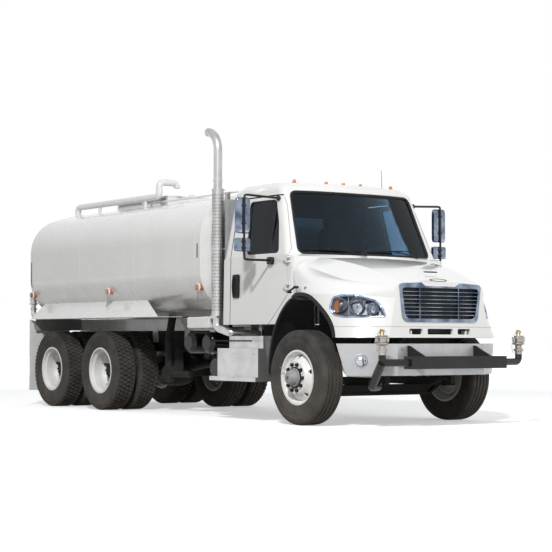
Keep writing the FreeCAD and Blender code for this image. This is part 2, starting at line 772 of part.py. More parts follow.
def arch_lips():
    """Rubber lips round both arches: one run on the hood, one on the cab."""
    band = arch_tool(700, 1300, 14).cut(arch_tool(690, 1310, -22))
    lip = band.common(hood_form(-12)).cut(hood_form(0))
    lip = biggest(lip.common(Part.makeBox(700, 900, 600, Vector(650, -698, 943))))
    tail = arch_tool(1068, 1098).cut(arch_tool(1060, 1110, -24))
    tail = biggest(tail.common(Part.makeBox(400, 460, 900, Vector(740, 216, 540))))
    for name, shape in (("hood_lips", lip), ("cab_lips", tail)):
        pair = [shape, shape.mirror(Vector(0, 0, 0), X_AXIS)]
        subpart(shaped(name, Part.makeCompound(pair)), name)


def door_bevel(sign):
    """A wedge off the door's rear inner edge, which lets it swing past the pillar."""
    rear = 1437
    outer = float(s.cab_half) + 30
    wedge = [(sign * outer, rear + 2), (sign * outer, rear - 1), (sign * 880, rear - 26),
             (sign * 880, rear + 2)]
    top = [(sign * 990, 0), (sign * 990, 2000), (sign * 900, 2000), (sign * 900, 0)]
    upper = extruded(top, "XY", 2530, 2560)
    return extruded(wedge, "XY", s.cab_floor - 10, 2600).fuse(upper)


def fuse_handle(panel, sign):
    """The pull handle that stands on the door skin."""
    y_span = (1262, 1352)
    x_in = float(s.belt_half) - 20
    handle = Part.makeBox(44, y_span[1] - y_span[0], 240, Vector(x_in, y_span[0], 1410))
    if sign < 0:
        handle = handle.mirror(Vector(0, 0, 0), X_AXIS)
    return panel.fuse(handle)


def biggest(shape):
    """The main solid of a boolean's result."""
    return max(shape.Solids, key=lambda solid: solid.Volume)


def cab_interior():
    """Two seats, the dashboard and the steering wheel on its column."""
    floor = s.cab_floor + s.cab_wall
    pieces = []
    for x in (-450, 450):
        pedestal = block((x - 170, x + 170), (900, 1260), (floor, floor + 260))
        cushion = block((x - 245, x + 245), (860, 1370), (floor + 260, floor + 400))
        back = prism("YZ_Plane", [(1260, floor + 400), (1370, floor + 400), (1480, floor + 1080),
                                  (1390, floor + 1090)], x - 235, x + 235)
        pieces.append(fused(pedestal, cushion, back))
    dash_half = float(s.cab_half) - 130
    section = [(100, 400), (340, 260), (560, 300), (640, 560), (600, 690), (330, 735), (100, 690)]
    dash = extruded([(y, z + float(floor)) for y, z in section], "YZ", -dash_half, dash_half)
    dash = shaped("dash", dash.common(cab_envelope(float(s.cab_wall) + 4)))
    console = block((-150, 150), (380, 560), (floor, floor + 340))
    column = shaped("column", tube([(450, 560, floor + 480), (450, 745, floor + 722)], 28, 10))
    rim = doc.addObject("Part::Torus", "rim")
    rim.Radius1 = 215
    rim.Radius2 = 15
    put(rim, 450, 745, floor + 720, rotation=FreeCAD.Rotation(X_AXIS, -38))
    spokes = []
    for angle in (90, 210, 330):
        turn = math.radians(angle)
        tilt = math.radians(-38)
        end = Vector(450 + 210 * math.cos(turn), 745 + 210 * math.sin(turn) * math.cos(tilt),
                     float(floor) + 720 + 210 * math.sin(turn) * math.sin(tilt))
        spokes.append(shaped("spoke", tube([(450, 745, floor + 720), end], 12, 5)))
    pieces.append(fused(dash, console, column, rim, *spokes))
    subpart(group(*pieces), "cab_interior")


def mirrors():
    """Mirror loop on each door: tube frame, two heads and their two mounts."""
    for side, sign in SIDES:
        out = 1420
        y = 640
        frame = tube([(sign * 960, y - 20, 2500), (sign * out, y, 2520), (sign * out, y, 1800),
                      (sign * 1075, y - 40, 1800)], 13, 60)
        heads = [Part.makeBox(180, 60, 400, Vector(sign * out - 90, y + 6, 2090)),
                 Part.makeBox(200, 60, 150, Vector(sign * out - 100, y + 6, 1890))]
        shape = frame
        for head in heads:
            shape = shape.fuse(head.makeFillet(18, head.Edges))
        mount = Part.makeBox(70, 100, 90, Vector(sign * 1082 - 35, y - 80, 1750))
        shape = shape.fuse(mount)
        upper = Part.makeSphere(30, Vector(sign * 975, y - 20, 2500))
        shape = shape.fuse(upper)
        clear = cab_envelope(0)
        shape = shape.cut(clear)
        subpart(shaped("mirror", biggest(shape)), f"mirror_{side}")


# ---------------------------------------------------------------- hood and front
# station, top, crease x, crease z, shoulder x, shoulder z, side x, side z, skirt x
HOOD_ROWS = [
    (202, 1838, 740, 1826, 982, 1772, 1068, 1600, 1068),
    (-60, 1818, 692, 1794, 915, 1668, 1150, 1445, 1150),
    (-300, 1776, 648, 1746, 868, 1598, 1146, 1405, 1152),
    (-480, 1738, 612, 1702, 815, 1556, 1065, 1398, 1108),
    (-700, 1672, 572, 1634, 722, 1516, 862, 1385, 1040),
    (-880, 1600, 552, 1568, 645, 1494, 704, 1372, 868),
    (-1000, 1538, 532, 1524, 592, 1492, 612, 1370, 700),
]


def hood_section(row, inset):
    """Cross section: crowned top between two creases, falling to the fender sides."""
    station, top, crease_x, crease_z, shoulder_x, shoulder_z, side_x, side_z, skirt_x = row
    foot = float(s.hood_lower) - (0 if inset == 0 else 40)
    side_x -= inset
    skirt_x -= inset
    shoulder_x -= inset * 0.75
    crease_x -= inset * 0.4
    top -= inset
    crease_z -= inset
    shoulder_z -= inset * 0.8
    side_z -= inset * 0.3

    def at(x, z):
        return Vector(x, station, z)

    def half_profile(sign):
        bulge_x = 0.7 * side_x + 0.3 * shoulder_x + 8
        bulge_z = 0.42 * side_z + 0.58 * shoulder_z
        return [Part.LineSegment(at(sign * skirt_x, foot), at(sign * side_x, side_z)).toShape(),
                Part.Arc(at(sign * side_x, side_z), at(sign * bulge_x, bulge_z),
                         at(sign * shoulder_x, shoulder_z)).toShape(),
                Part.LineSegment(at(sign * shoulder_x, shoulder_z),
                                 at(sign * crease_x, crease_z)).toShape()]

    crown = Part.Arc(at(crease_x, crease_z), at(0, top), at(-crease_x, crease_z)).toShape()
    base = Part.LineSegment(at(-skirt_x, foot), at(skirt_x, foot)).toShape()
    return Part.Wire(half_profile(1) + [crown] + half_profile(-1)[::-1] + [base])


def hood_form(inset):
    rows = [list(row) for row in HOOD_ROWS]
    if inset:
        rows[0][0] += 60
        rows[-1][0] += inset
        rows[-2][0] += inset * 0.6
    return Part.makeLoft([hood_section(row, inset) for row in rows], True, False)


def headlight_prism(gap, depth):
    """The lamp's teardrop outline, pushed along the swept corner's normal."""
    start = Vector(1085, -400, 0)
    end = Vector(625, -865, 0)
    along = (end - start).normalize()
    normal = Vector(-along.y, along.x, 0) * -1
    # distance along the corner, height
    outline = rounded([(56, 1255), (92, 1366), (205, 1398), (350, 1388), (545, 1332),
                       (622, 1262), (662, 1160), (205, 1157), (104, 1178)], 26)
    corners = [start + along * u + Vector(0, 0, z) - normal * depth
               for u, z in grown(outline, gap)]
    face = Part.Face(Part.makePolygon(corners + corners[:1]))
    return face.extrude(normal * (depth + 160))


def hood():
    outer = hood_form(0)
    wall = float(s.hood_wall)
    inner = hood_form(wall)
    shell = outer.cut(inner).cut(cab_envelope(-10))
    for low, high in ((-1400, -740), (740, 1400)):
        shell = shell.cut(arch_tool(low, high))
    reach = Part.makeBox(900, 730, 600, Vector(700, -580, float(s.hood_lower)))
    house = wheelhouse(742, 1300, 10).common(outer).common(reach).cut(cab_envelope(-10))
    shell = shell.fuse([house, house.mirror(Vector(0, 0, 0), X_AXIS)])
    front = -float(s.hood_front) - 60
    shell = shell.cut(front_prism(grille_outline(), 0.3, front, -800))
    for x in (-336, 0, 336):
        half = 176 if x == 0 else 90
        slot = [(x - half, 978), (x - half, 1038), (x + half, 1038), (x + half, 978)]
        shell = shell.cut(front_prism(rounded(slot, 14), 0, front, -800))
    lamps = []
    for side, sign in SIDES:
        tool = headlight_prism(0, 140)
        lens = headlight_prism(-0.3, 140)
        if sign < 0:
            tool = tool.mirror(Vector(0, 0, 0), X_AXIS)
            lens = lens.mirror(Vector(0, 0, 0), X_AXIS)
        shell = shell.cut(tool)
        lamps.append(biggest(outer.cut(inner).common(lens)))
    lugs = []
    hinge_y, hinge_z = float(HINGE_Y), float(HINGE_Z)
    for sign in (-1, 1):
        for x in (float(s.rail_half) - 56, float(s.rail_half) - 4):
            lug = Part.makeBox(14, 70, 70, Vector(x, hinge_y - 40, hinge_z - 16))
            bore = Part.makeCylinder(float(HINGE_PIN) + 0.3, 200,
                                     Vector(x - 50, hinge_y, hinge_z), X_AXIS)
            lug = lug.cut(bore)
            lugs.append(lug if sign > 0 else lug.mirror(Vector(0, 0, 0), X_AXIS))
    body = biggest(shell)
    for lug in lugs:
        body = body.fuse(lug)
    subpart(shaped("hood", biggest(body)), "hood")
    subpart(shaped("headlights", Part.makeCompound(lamps)), "headlights")


def grille_outline():
    """Front view of the grille's frame: raised upper corners round a centre notch."""
    half = s.grille_half
    foot = s.grille_foot_half
    top = s.grille_top
    return ([(-270, top + 22), (-215, top - 14), (215, top - 14), (270, top + 22)]
            + grille_corner(half, top + 10, foot, s.grille_foot, 1)
            + grille_corner(half, top + 10, foot, s.grille_foot, -1)[::-1])


def grille_corner(half, top, foot, base, sign):
    """Down one side of the grille: a tight upper bend and a wide lower one."""
    return [(sign * (half - 34), top), (sign * (half - 10), top - 8), (sign * half, top - 34),
            (sign * foot, base + 62), (sign * (foot - 12), base + 30),
            (sign * (foot - 36), base + 8), (sign * (foot - 66), base)]


def grille():
    """A frame with horizontal bars in front of upright ones, all one casting."""
    front = -s.hood_front - 12
    back = front + s.grille_depth
    frame = prism("XZ_Plane", grille_outline(), front, back)
    gauge = s.grille_frame
    half = s.grille_half - gauge
    foot = s.grille_foot_half - gauge
    head = s.grille_top - gauge
    hole = (grille_corner(half, head, foot, s.grille_foot + gauge, 1)
            + grille_corner(half, head, foot, s.grille_foot + gauge, -1)[::-1])
    surround = cut(frame, prism("XZ_Plane", hole, front - 10, back + 10))
    pitch = (head - s.grille_foot - gauge) / (s.grille_bars + 1)
    bars = []
    for number in range(1, int(s.grille_bars.number) + 1):
        z = s.grille_foot + gauge + pitch * number
        reach = foot + (half - foot) / (s.grille_bars + 1) * number + 4
        reach = reach - 24 if number == 1 else reach
        bars.append(prism("YZ_Plane", [(front + 6, z - 4), (front + 6, z + 3),
                                       (front + 30, z + 9), (front + 30, z + 2)],
                          -reach, reach))
    uprights = [block((x - 5, x + 5), (front + 26, back - 4), (s.grille_foot + gauge - 4,
                                                              head + 4))
                for x in (-270, 270)]
    subpart(fused(surround, *bars, *uprights), "grille")


def front_bumper():
    """A pressed bumper: flat centre, swept ends, a turned-in lower lip."""
    plan = [(0, -s.bumper_front), (600, -s.bumper_front), (1112, -620), (1112, -600),
            (1094, -600), (594, -s.bumper_front + 14 + s.bumper_gauge),
            (0, -s.bumper_front + s.bumper_gauge)]
    face = prism("XY_Plane", plan, s.bumper_foot + 40, s.bumper_top)
    shelf = prism("XY_Plane", [(0, -s.bumper_front), (600, -s.bumper_front), (1112, -620),
                               (1060, -600), (580, -s.bumper_front + 110),
                               (0, -s.bumper_front + 110)],
                  s.bumper_top - s.bumper_gauge, s.bumper_top)
    lip = prism("XY_Plane", [(0, -s.bumper_front), (600, -s.bumper_front), (1112, -620),
                             (1060, -600), (580, -s.bumper_front + 60),
                             (0, -s.bumper_front + 60)],
                s.bumper_foot, s.bumper_foot + 42)
    recess = shaped("recess", Part.makeCylinder(75, 200, Vector(840, -700, 700),
                                                Vector(0.61, -0.79, 0)))
    bowl = shaped("bowl", Part.makeCylinder(76, 14, Vector(840, -700, 700) +
                                            Vector(0.61, -0.79, 0) * 96,
                                            Vector(0.61, -0.79, 0)))
    horn = prism("YZ_Plane", [(s.rail_front, 800), (-s.bumper_front + s.bumper_gauge, 640),
                              (-s.bumper_front + s.bumper_gauge, 850), (s.rail_front, 850)],
                 s.rail_half - 8, s.rail_half + 14)
    slant = prism("YZ_Plane", [(-691, s.bumper_foot - 20), (-620, s.bumper_top + 20),
                               (-500, s.bumper_top + 20), (-500, s.bumper_foot - 20)], 700, 1200)
    half = fused(cut(fused(face, shelf, lip), recess, slant), bowl, horn)
    subpart(fused(half, mirrored(half)), "front_bumper")


def spray_bars():
    """Front spray bar with its gussets and pipes, rear spray bar, and their heads."""
    side = s.spray_box_side
    front = -s.front_reach
    low = s.spray_box_z - side / 2
    box = block((-s.spray_box_half, s.spray_box_half), (front, front + side), (low, low + side))
    gusset = prism("YZ_Plane", [(front + side - 2, low + side - 4), (-s.bumper_front, 700),
                                (-s.bumper_front, 860), (-s.bumper_front - 20, 860),
                                (front + 20, low + side)], 450, 470)
    pieces = [box, gusset, mirrored(gusset)]
    axis_y = front + side / 2
    for sign in (-1, 1):
        arm = tube([(sign * (float(s.spray_box_half) - 4), axis_y, s.spray_box_z),
                    (sign * s.head_x.number, axis_y + 60, s.spray_box_z),
                    (sign * s.head_x.number, axis_y + 60, float(s.spray_box_z) + 80)], 38, 55)
        pieces.append(shaped("arm", arm))
    feed = tube([(-s.head_x.number, axis_y + 60, s.spray_box_z), (-850, -900, 430),
                 (-690, -800, 430)], 44, 60)
    pieces.append(shaped("feed", feed))
    subpart(fused(*pieces), "front_spray_bar")
    rear_axis = REAR_REACH - 62
    bar = shaped("bar", tube([(-1060, rear_axis, 1300), (-1060, rear_axis, 1230),
                              (1060, rear_axis, 1230), (1060, rear_axis, 1300)], 40, 55))
    stays = [block((x - 30, x + 30), (TANK_REAR - 60, rear_axis), (1218, 1242))
             for x in (-420, 420)]
    subpart(cut(fused(bar, *stays), shaped("tank_form", tank_form())), "rear_spray_bar")
    heads = []
    for sign in (-1, 1):
        for x, y, z in ((s.head_x, axis_y + 60, s.spray_box_z + 80),
                        (size(1060), rear_axis, size(1300))):
            profile = [(0, 0), (38, 0), (38, 30), (50, 34), (50, 52), (36, 58), (36, 96),
                       (62, 108), (62, 124), (44, 130), (52, 168), (60, 176), (60, 188),
                       (26, 196), (18, 232), (0, 232)]
            body = doc.addObject("PartDesign::Body", "head")
            sketch = outline_sketch(body, "XZ_Plane", profile, 0)
            turn = body.newObject("PartDesign::Revolution", "turn")
            turn.Profile = sketch
            turn.ReferenceAxis = (sketch, ["V_Axis"])
            turn.Angle = 360
            heads.append(put(body, x * sign, y, z))
    subpart(group(*heads), "spray_heads")


# ---------------------------------------------------------------- tank
def tank_section(station, inset):
    """Front view of the tank: crowned top and bottom, round corners, flat sides."""
    half = float(s.tank_half) - inset
    crown = {1: float(s.tank_crown), -1: float(s.tank_belly)}
    lean_angle = {1: math.radians(70), -1: math.radians(82)}
    top = float(s.tank_top) - inset
    foot = float(s.tank_bottom) + inset
    radius = max(float(s.tank_corner) - inset, 60)
    spring = half - radius

    def at(x, z):
        return Vector(x, station, z)

    def corner(sign, up):
        level = top - crown[up] if up > 0 else foot + crown[up]
        centre_z = level - up * radius
        start = at(sign * half, centre_z)
        lean = lean_angle[up]
        middle = at(sign * (spring + radius * math.cos(lean / 2)),
                    centre_z + up * radius * math.sin(lean / 2))
        end = at(sign * (spring + radius * math.cos(lean)), centre_z + up * radius *
                 math.sin(lean))
        return start, middle, end

    def arc(points):
        return Part.Arc(*points).toShape()

    top_left, top_right = corner(1, 1), corner(-1, 1)
    low_left, low_right = corner(1, -1), corner(-1, -1)
    return Part.Wire([Part.LineSegment(low_left[0], top_left[0]).toShape(), arc(top_left),
                      arc((top_left[2], at(0, top), top_right[2])), arc(top_right[::-1]),
                      Part.LineSegment(top_right[0], low_right[0]).toShape(), arc(low_right),
                      arc((low_right[2], at(0, foot), low_left[2])), arc(low_left[::-1])])


def tank_form():
    """Shell with a bevelled ring and a shallow dished head at each end."""
    ring = float(s.head_ring)
    dish = float(s.head_dish)
    front = float(s.tank_front)
    rear = float(TANK_REAR)
    # station, how far the section is drawn in
    rows = [(front - dish, 430), (front - dish * 0.45, ring), (front, 0),
            (rear, 0), (rear + dish * 0.45, ring), (rear + dish, 430)]
    return Part.makeLoft([tank_section(station, inset) for station, inset in rows], True, True)


def off_tank(*shapes):
    """Pieces that stand on the tank, trimmed to its surface."""
    tank = tank_form()
    return [biggest(shape.cut(tank)) for shape in shapes]


def water_tank():
    subpart(shaped("tank", tank_form()), "water_tank")


def drain_port():
    """Hose coupling low on the rear head: a ribbed collar with a plain bore."""
    x, z = float(s.drain_x), float(s.drain_z)
    reach = float(TANK_REAR) + 195
    collar = Part.makeCylinder(57, 160, Vector(x, reach - 160, z), Y_AXIS)
    rib = Part.makeCylinder(72, 22, Vector(x, reach - 62, z), Y_AXIS)
    bore = Part.makeCylinder(float(s.drain_radius), 90, Vector(x, reach - 80, z), Y_AXIS)
    subpart(shaped("port", off_tank(collar.fuse(rib).cut(bore))[0]), "drain_port")


def tank_cradle():
    """Two long side plates from the rails up to the tank, with cross bolsters."""
    contact = tank_foot_at(float(s.cradle_half))
    plate = prism("YZ_Plane", [(1960, s.rail_top), (6290, s.rail_top), (6290, contact - 4),
                               (1960, contact - 4)],
                  s.cradle_half - 30, s.cradle_half - 30 + s.cradle_gauge)
    feet = [block((s.rail_half, s.rail_half + 14), (y - 60, y + 60),
                  (s.rail_top - 150, s.rail_top + 60)) for y in (2800, 3400, 4200, 6100)]
    subpart(both_sides(fused(plate, *feet)), "tank_cradle")


def tank_foot_at(x):
    """Height of the tank's lower side at a distance from its middle."""
    crown = float(s.tank_belly)
    reach = float(s.tank_half) - float(s.tank_corner)
    return float(s.tank_bottom) + crown * (x / reach) ** 2 * 0.6


def tank_fenders():
    """A folded tray along each lower side of the tank, over the rear wheels."""
    gauge = s.tray_gauge
    front_low, front_high = 2850, 3420
    rear_low, rear_high = 6290, 6150
    slope = [(-s.tray_half, s.tray_lip), (-s.tank_half + 150, s.tray_edge),
             (-s.tank_half + 156, s.tray_edge - gauge), (-s.tray_half + gauge, s.tray_lip - 4)]
    shelf = [(-s.tray_half, s.tray_lip - gauge), (-s.tray_half, s.tray_lip),
             (-840, s.tray_lip), (-840, s.tray_lip - gauge)]
    panel = prism("XZ_Plane", slope, front_low, rear_low)
    trim_front = prism("YZ_Plane", [(front_low - 10, s.tray_lip + 2), (front_high, s.tray_edge + 4),
                                    (front_low - 10, s.tray_edge + 4)], -1300, -900)
    trim_rear = prism("YZ_Plane", [(rear_low + 10, s.tray_lip + 2), (rear_low + 10,
                                    s.tray_edge + 4), (rear_high, s.tray_edge + 4)], -1300, -900)
    top = prism("XZ_Plane", shelf, front_low, rear_low)
    tray = cut(fused(cut(panel, trim_front, trim_rear), top), shaped("tank_form", tank_form()))
    subpart(group(tray, mirrored(tray)), "tank_fenders")


def manhole():
    """Rectangular coaming on the tank's crown, and its hinged lid."""
    half = s.manhole_half
    front = s.manhole_front
    rear = front + s.manhole_length
    foot = s.tank_top - 60
    ring = cut(block((-half, half), (front, rear), (foot, s.coaming_top)),
               block((-half + 12, half - 12), (front + 12, rear - 12), (foot - 10,
                                                                       s.coaming_top + 10)))
    knuckle = rod("Y", (half + 14, front + 80, s.coaming_top), 9, s.manhole_length - 160)
    web = block((half, half + 14), (front + 80, rear - 80), (s.coaming_top - 40,
                                                            s.coaming_top - 8))
    ring = cut(fused(ring, web, knuckle), shaped("tank_form", tank_form()))
    subpart(ring, "manhole")
    lid = block((-half - 4, half - 2), (front - 4, rear + 4), (s.coaming_top + 0.3,
                                                             s.coaming_top + s.lid_gauge))
    leaf = block((half - 4, half + 14), (front + 130, rear - 130),
                 (s.coaming_top + 9.3, s.coaming_top + s.lid_gauge))
    grip = shaped("grip", tube([(-half.number + 60, 4700, 2812), (-half.number + 60, 4700, 2850),
                                (-half.number + 60, 4850, 2850),
                                (-half.number + 60, 4850, 2812)], 8, 14))
    subpart(fused(lid, leaf, grip), "hatch_lid")


def fill_pipe():
    """The overhead fill pipe with its rear leg, posts, riser and spout."""
    x = -s.fill_pipe_x.number
    z = s.fill_pipe_z.number
    rear = 6140
    riser = 3900
    run = tube([(x, rear, z - 140), (x, rear, z), (x, riser, z), (x, riser, z + 185),
                (x + 270, riser, z + 185), (x + 270, riser, z + 120)], s.pipe_radius, 62)
    posts = [Part.makeCylinder(22, 160, Vector(x, y, z - 150)) for y in (5500, 4250)]
    shape = run
    for post in posts:
        shape = shape.fuse(post)
    rail = tube([(-450, 2200, 2640), (-450, 2200, 2722), (-450, 4300, 2722),
                 (-450, 4300, 2640)], 12, 24)
    mouth = Part.makeCylinder(float(s.pipe_radius) - 5, 70, Vector(x + 270, riser, z + 110))
    pipe, rail = off_tank(shape, rail)
    subpart(shaped("pipes", Part.makeCompound([pipe.cut(mouth), rail])), "fill_pipe")


def mud_flaps():
    """A hanging plate behind the last wheels on each side."""
    plate = prism("XZ_Plane", [(600, 207), (1220, 207), (1220, s.tray_lip - 12),
                               (600, s.tray_lip - 120)], 6322, 6334)
    arm = block((s.rail_half, 640), (6280, 6322), (960, 1010))
    subpart(both_sides(fused(plate, arm)), "mud_flaps")


def lamps():
    """Marker lamps along the tank, tail lamps, and the row of lamps on the roof."""
    pieces = []
    for sign in (-1, 1):
        start = sign * float(s.tank_half)
        for y in (1945, 4120, 6300):
            lamp = Part.makeCylinder(34, 90, Vector(start - sign * 66, y, 1530), X_AXIS * sign)
            pieces += off_tank(lamp)
        pieces.append(Part.makeBox(240, 28, 70, Vector(sign * 880 - 120, 6334, 985)))
    cab_form = cab_envelope(0)
    for x in (-700, -250, 0, 250, 700):
        lamp = Part.makeCone(36, 16, 80, Vector(x, 700, 2650))
        pieces.append(biggest(lamp.cut(cab_form)))
    subpart(shaped("lamps", Part.makeCompound(pieces)), "lamps")


# ---------------------------------------------------------------- side gear
def exhaust_stack():
    """Upright stack: slotted guard round the silencer, bent tail pipe, base elbow."""
    x, y = -s.stack_x.number, s.stack_y.number
    guard = Part.makeCylinder(float(s.guard_radius), float(s.guard_top - s.guard_foot),
                              Vector(x, y, float(s.guard_foot)))
    top = float(s.stack_top)
    tail = tube([(x, y, float(s.guard_top) - 20), (x, y, top + 150), (x, y + 212, top + 195)],
                s.stack_radius, float(s.stack_bend))
    along = Vector(0, 0.978, 0.208)
    hollow = Part.makeCylinder(float(s.stack_radius) - 5, 60,
                               Vector(x, y + 212, top + 195) - along * 50, along)
    base = Part.makeBox(220, 150, 30, Vector(x - 60, y - 75, 1168))
    elbow = tube([(x, y, 1190), (x, y, 1060), (x + 60, y - 200, 1000),
                  (x + 380, y - 330, 970)], 52, 60)
    post = Part.makeBox(40, 60, 1480, Vector(x + 110, y - 40, 1170))
    rail = -float(s.rail_half)
    arm = Part.makeBox(rail - x - 100, 60, 40, Vector(x + 100, y - 40, 1136))
    leg = Part.makeBox(14, 60, 216, Vector(rail - 14, y - 40, 960))
    straps = [Part.makeBox(60, 30, 40, Vector(x + 55, y - 25, z)) for z in (1500, 2300)]
    shape = guard.fuse([tail, base, elbow, post, arm, leg] + straps).cut(hollow)
    subpart(shaped("stack", biggest(shape)), "exhaust_stack")


def side_boxes():
    """Battery box with steps on the right, fuel tank with steps on the left."""
    front, rear = s.step_front, s.step_rear
    box = block((-s.step_out, -s.step_in), (front, rear), (500, 820))
    upper = block((-s.step_out + 70, -s.step_in), (front, rear - 140), (820, 960))
    tread = block((-s.step_out - 35, -s.step_in - 100), (front, rear + 120), (452, 500))
    mount = block((-s.step_in, -s.rail_half), (front + 130, rear - 200), (790, 850))
    subpart(fused(box, upper, tread, mount), "battery_steps")
    fuel = rod("Y", (900, 680, 700), 300, 880)
    saddles = [block((s.rail_half, 640), (y - 40, y + 40), (640, 780)) for y in (820, 1360)]
    step = block((1000, 1215), (675, 1505), (452, 490))
    straps = [block((1005, 1212), (y - 20, y + 20), (470, 640)) for y in (760, 1420)]
    second = block((1120, 1215), (680, 1500), (820, 850))
    holders = [block((1020, 1140), (y - 20, y + 20), (800, 850)) for y in (760, 1420)]
    subpart(fused(fuel, *saddles, step, *straps, second, *holders), "fuel_tank")


def air_tanks():
    """Three air tanks across the frame on the right, with a carrier bracket."""
    pieces = []
    for y, z, radius in ((2160, 880, s.air_radius), (2570, 880, s.air_radius),
                         (1960, 580, s.air_low_radius)):
        start = -900
        drum = rod("X", (start, y, z), radius, 420)
        cap = cone("X", (start - 45, y, z), radius - 40, radius, 45)
        pieces.append(fused(drum, cap))
    bracket = block((-500, -s.rail_half), (1850, 2660), (740, 760))
    hanger = block((-500, -s.rail_half), (1900, 2020), (560, 745))
    plate_box = prism("YZ_Plane", [(1960, 1050), (2350, 1050), (2350, 1190), (2010, 1190),
                                   (1960, 1140)], -1100, -700)
    cradle_side = s.cradle_half - 30 + s.cradle_gauge
    leg = block((-720, -cradle_side), (2100, 2200), (1050, 1070))
    subpart(group(fused(*pieces, bracket, hanger), fused(plate_box, leg)), "air_tanks")


def water_pump():
    """Pump with its volute, suction pipe up to the tank and delivery pipe."""
    y = 3570
    volute = rod("X", (-660, y, 480), 105, 90)
    shaft = rod("X", (-572, y, 480), 40, 130)
    suction = shaped("suction", tube([(-615, y, 520), (-615, y, 900), (-520, y + 60, 1240)],
                                     50, 90))
    delivery = shaped("delivery", tube([(-600, y - 60, 480), (-600, y - 500, 480)], 40, 10))
    bracket = block((-560, -s.rail_half), (y - 60, y + 60), (460, 800))
    pump = fused(volute, shaft, suction, delivery, bracket)
    subpart(cut(pump, shaped("tank_form", tank_form())), "water_pump")


def rear_ladder():
    """Ladder on the tank's rear head, right of the middle."""
    y = TANK_REAR + 150
    stiles = [rod("Z", (x, y, 1330), 14, 1280) for x in (-230, 170)]
    rungs = [rod("X", (-230, y, 1400 + 290 * step), 11, 400) for step in range(5)]
    feet = [rod("Y", (x, TANK_REAR + 60, z), 12, 90) for x in (-230, 170)
            for z in (1480, 2460)]
    ladder = fused(*stiles, *rungs, *feet)
    subpart(cut(ladder, shaped("tank_form", tank_form())), "rear_ladder")


def build():
    frame_rails()
    crossmembers()
    hood_hinges()
    front_axle()
    suspension()
    drive_axles()
    engine()
    front_wheels()
    knuckles()
    rear_wheels()
    cab()
    cab_interior()
    mirrors()
    hood()
    arch_lips()
    grille()
    front_bumper()
    spray_bars()
    water_tank()
    tank_cradle()
    drain_port()
    tank_fenders()
    manhole()
    fill_pipe()
    mud_flaps()
    lamps()
    exhaust_stack()
    side_boxes()
    air_tanks()
    water_pump()
    rear_ladder()
    doc.recompute()


def write_parts():
    """Check every object and every sub-part, then write one STEP file each."""
    failed = [f"{obj.Name} ({obj.Label})" for obj in doc.Objects
              if "Invalid" in obj.State or "Error" in obj.State]
    if failed:
        raise RuntimeError(f"did not build: {', '.join(failed)}")
    bad = [part.Label for part in subparts if part.Shape.isNull() or not part.Shape.isValid()]
    if bad:
        raise RuntimeError(f"no valid shape: {', '.join(bad)}")
    os.makedirs("parts", exist_ok=True)
    for part in subparts:
        part.Shape.exportStep(f"parts/{part.Label}.step")
    print(len(subparts), "sub-parts written")


build()
write_parts()
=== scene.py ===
"""Finish and small hardware for a tanker truck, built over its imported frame."""

import json
import math

import bmesh
import bpy
from bpy.props import FloatProperty, FloatVectorProperty, IntProperty, PointerProperty
from mathutils import Matrix, Vector


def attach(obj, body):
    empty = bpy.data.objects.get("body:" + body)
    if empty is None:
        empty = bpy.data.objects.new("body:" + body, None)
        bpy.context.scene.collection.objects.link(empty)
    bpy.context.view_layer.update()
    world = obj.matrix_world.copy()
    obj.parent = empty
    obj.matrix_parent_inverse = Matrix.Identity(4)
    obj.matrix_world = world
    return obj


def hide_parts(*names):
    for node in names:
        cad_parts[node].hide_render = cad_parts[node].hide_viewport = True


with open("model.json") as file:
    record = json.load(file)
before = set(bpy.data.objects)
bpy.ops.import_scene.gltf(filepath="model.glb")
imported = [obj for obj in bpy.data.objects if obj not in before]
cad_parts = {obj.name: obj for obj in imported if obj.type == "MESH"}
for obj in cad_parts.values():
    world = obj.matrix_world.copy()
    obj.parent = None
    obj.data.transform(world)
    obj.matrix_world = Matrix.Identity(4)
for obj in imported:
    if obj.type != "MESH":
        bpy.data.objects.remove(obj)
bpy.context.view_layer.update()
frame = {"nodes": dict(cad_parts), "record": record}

bl_info = {
    "name": "Tanker Truck Finish",
    "version": (1, 0, 0),
    "blender": (4, 5, 0),
    "location": "View3D > Sidebar > Tanker",
    "description": "Paint, trim and small hardware for a tanker truck",
    "category": "Object",
}

FORWARD = 2.640
SIDES = (("right", -1.0), ("left", 1.0))
TYRE_RADIUS = 0.513
WHEEL_Z = TYRE_RADIUS
ROUND_STEPS = 96
TREAD_BLOCKS = 56
STACK_AXIS = (-1.05, 1.752)
SPRAY_AXIS = (0.95, -1.195)
CAMERA_PLACE = (-11.1285, -13.8829, 0.9330)
CAMERA_TURN = (92.25, -0.10, -34.92)
LIGHT_AIM = Vector((0, -1, 1))
RAIL_FACE = 0.4325
MARKERS = (1.945, 4.120, 6.300)
MARKER_Z = 1.53
LINER_GAUGE = 0.0015
TRACK = 1.040
PAIR = 0.337
TANDEM = {"front": 4.390, "rear": 5.762}


# ---------------------------------------------------------------- mesh helpers
def spot(x, y, z):
    """A place given from the front axle, in the part's own frame."""
    return Vector((x, y - FORWARD, z))


def move(bm, vector):
    bmesh.ops.translate(bm, verts=bm.verts, vec=vector)


def turned(degrees, axis):
    return Matrix.Rotation(math.radians(degrees), 4, axis)


def turned_to(axis):
    """The rotation that takes +Z to an axis."""
    return Vector((0, 0, 1)).rotation_difference(Vector(axis).normalized()).to_matrix().to_4x4()


def add_box(bm, low, high, matrix=None):
    low, high = Vector(low), Vector(high)
    centre = (low + high) / 2
    size = high - low
    place = Matrix.Translation(centre) @ Matrix.Diagonal((*size, 1))
    if matrix:
        place = matrix @ place
    bmesh.ops.create_cube(bm, size=1, matrix=place)


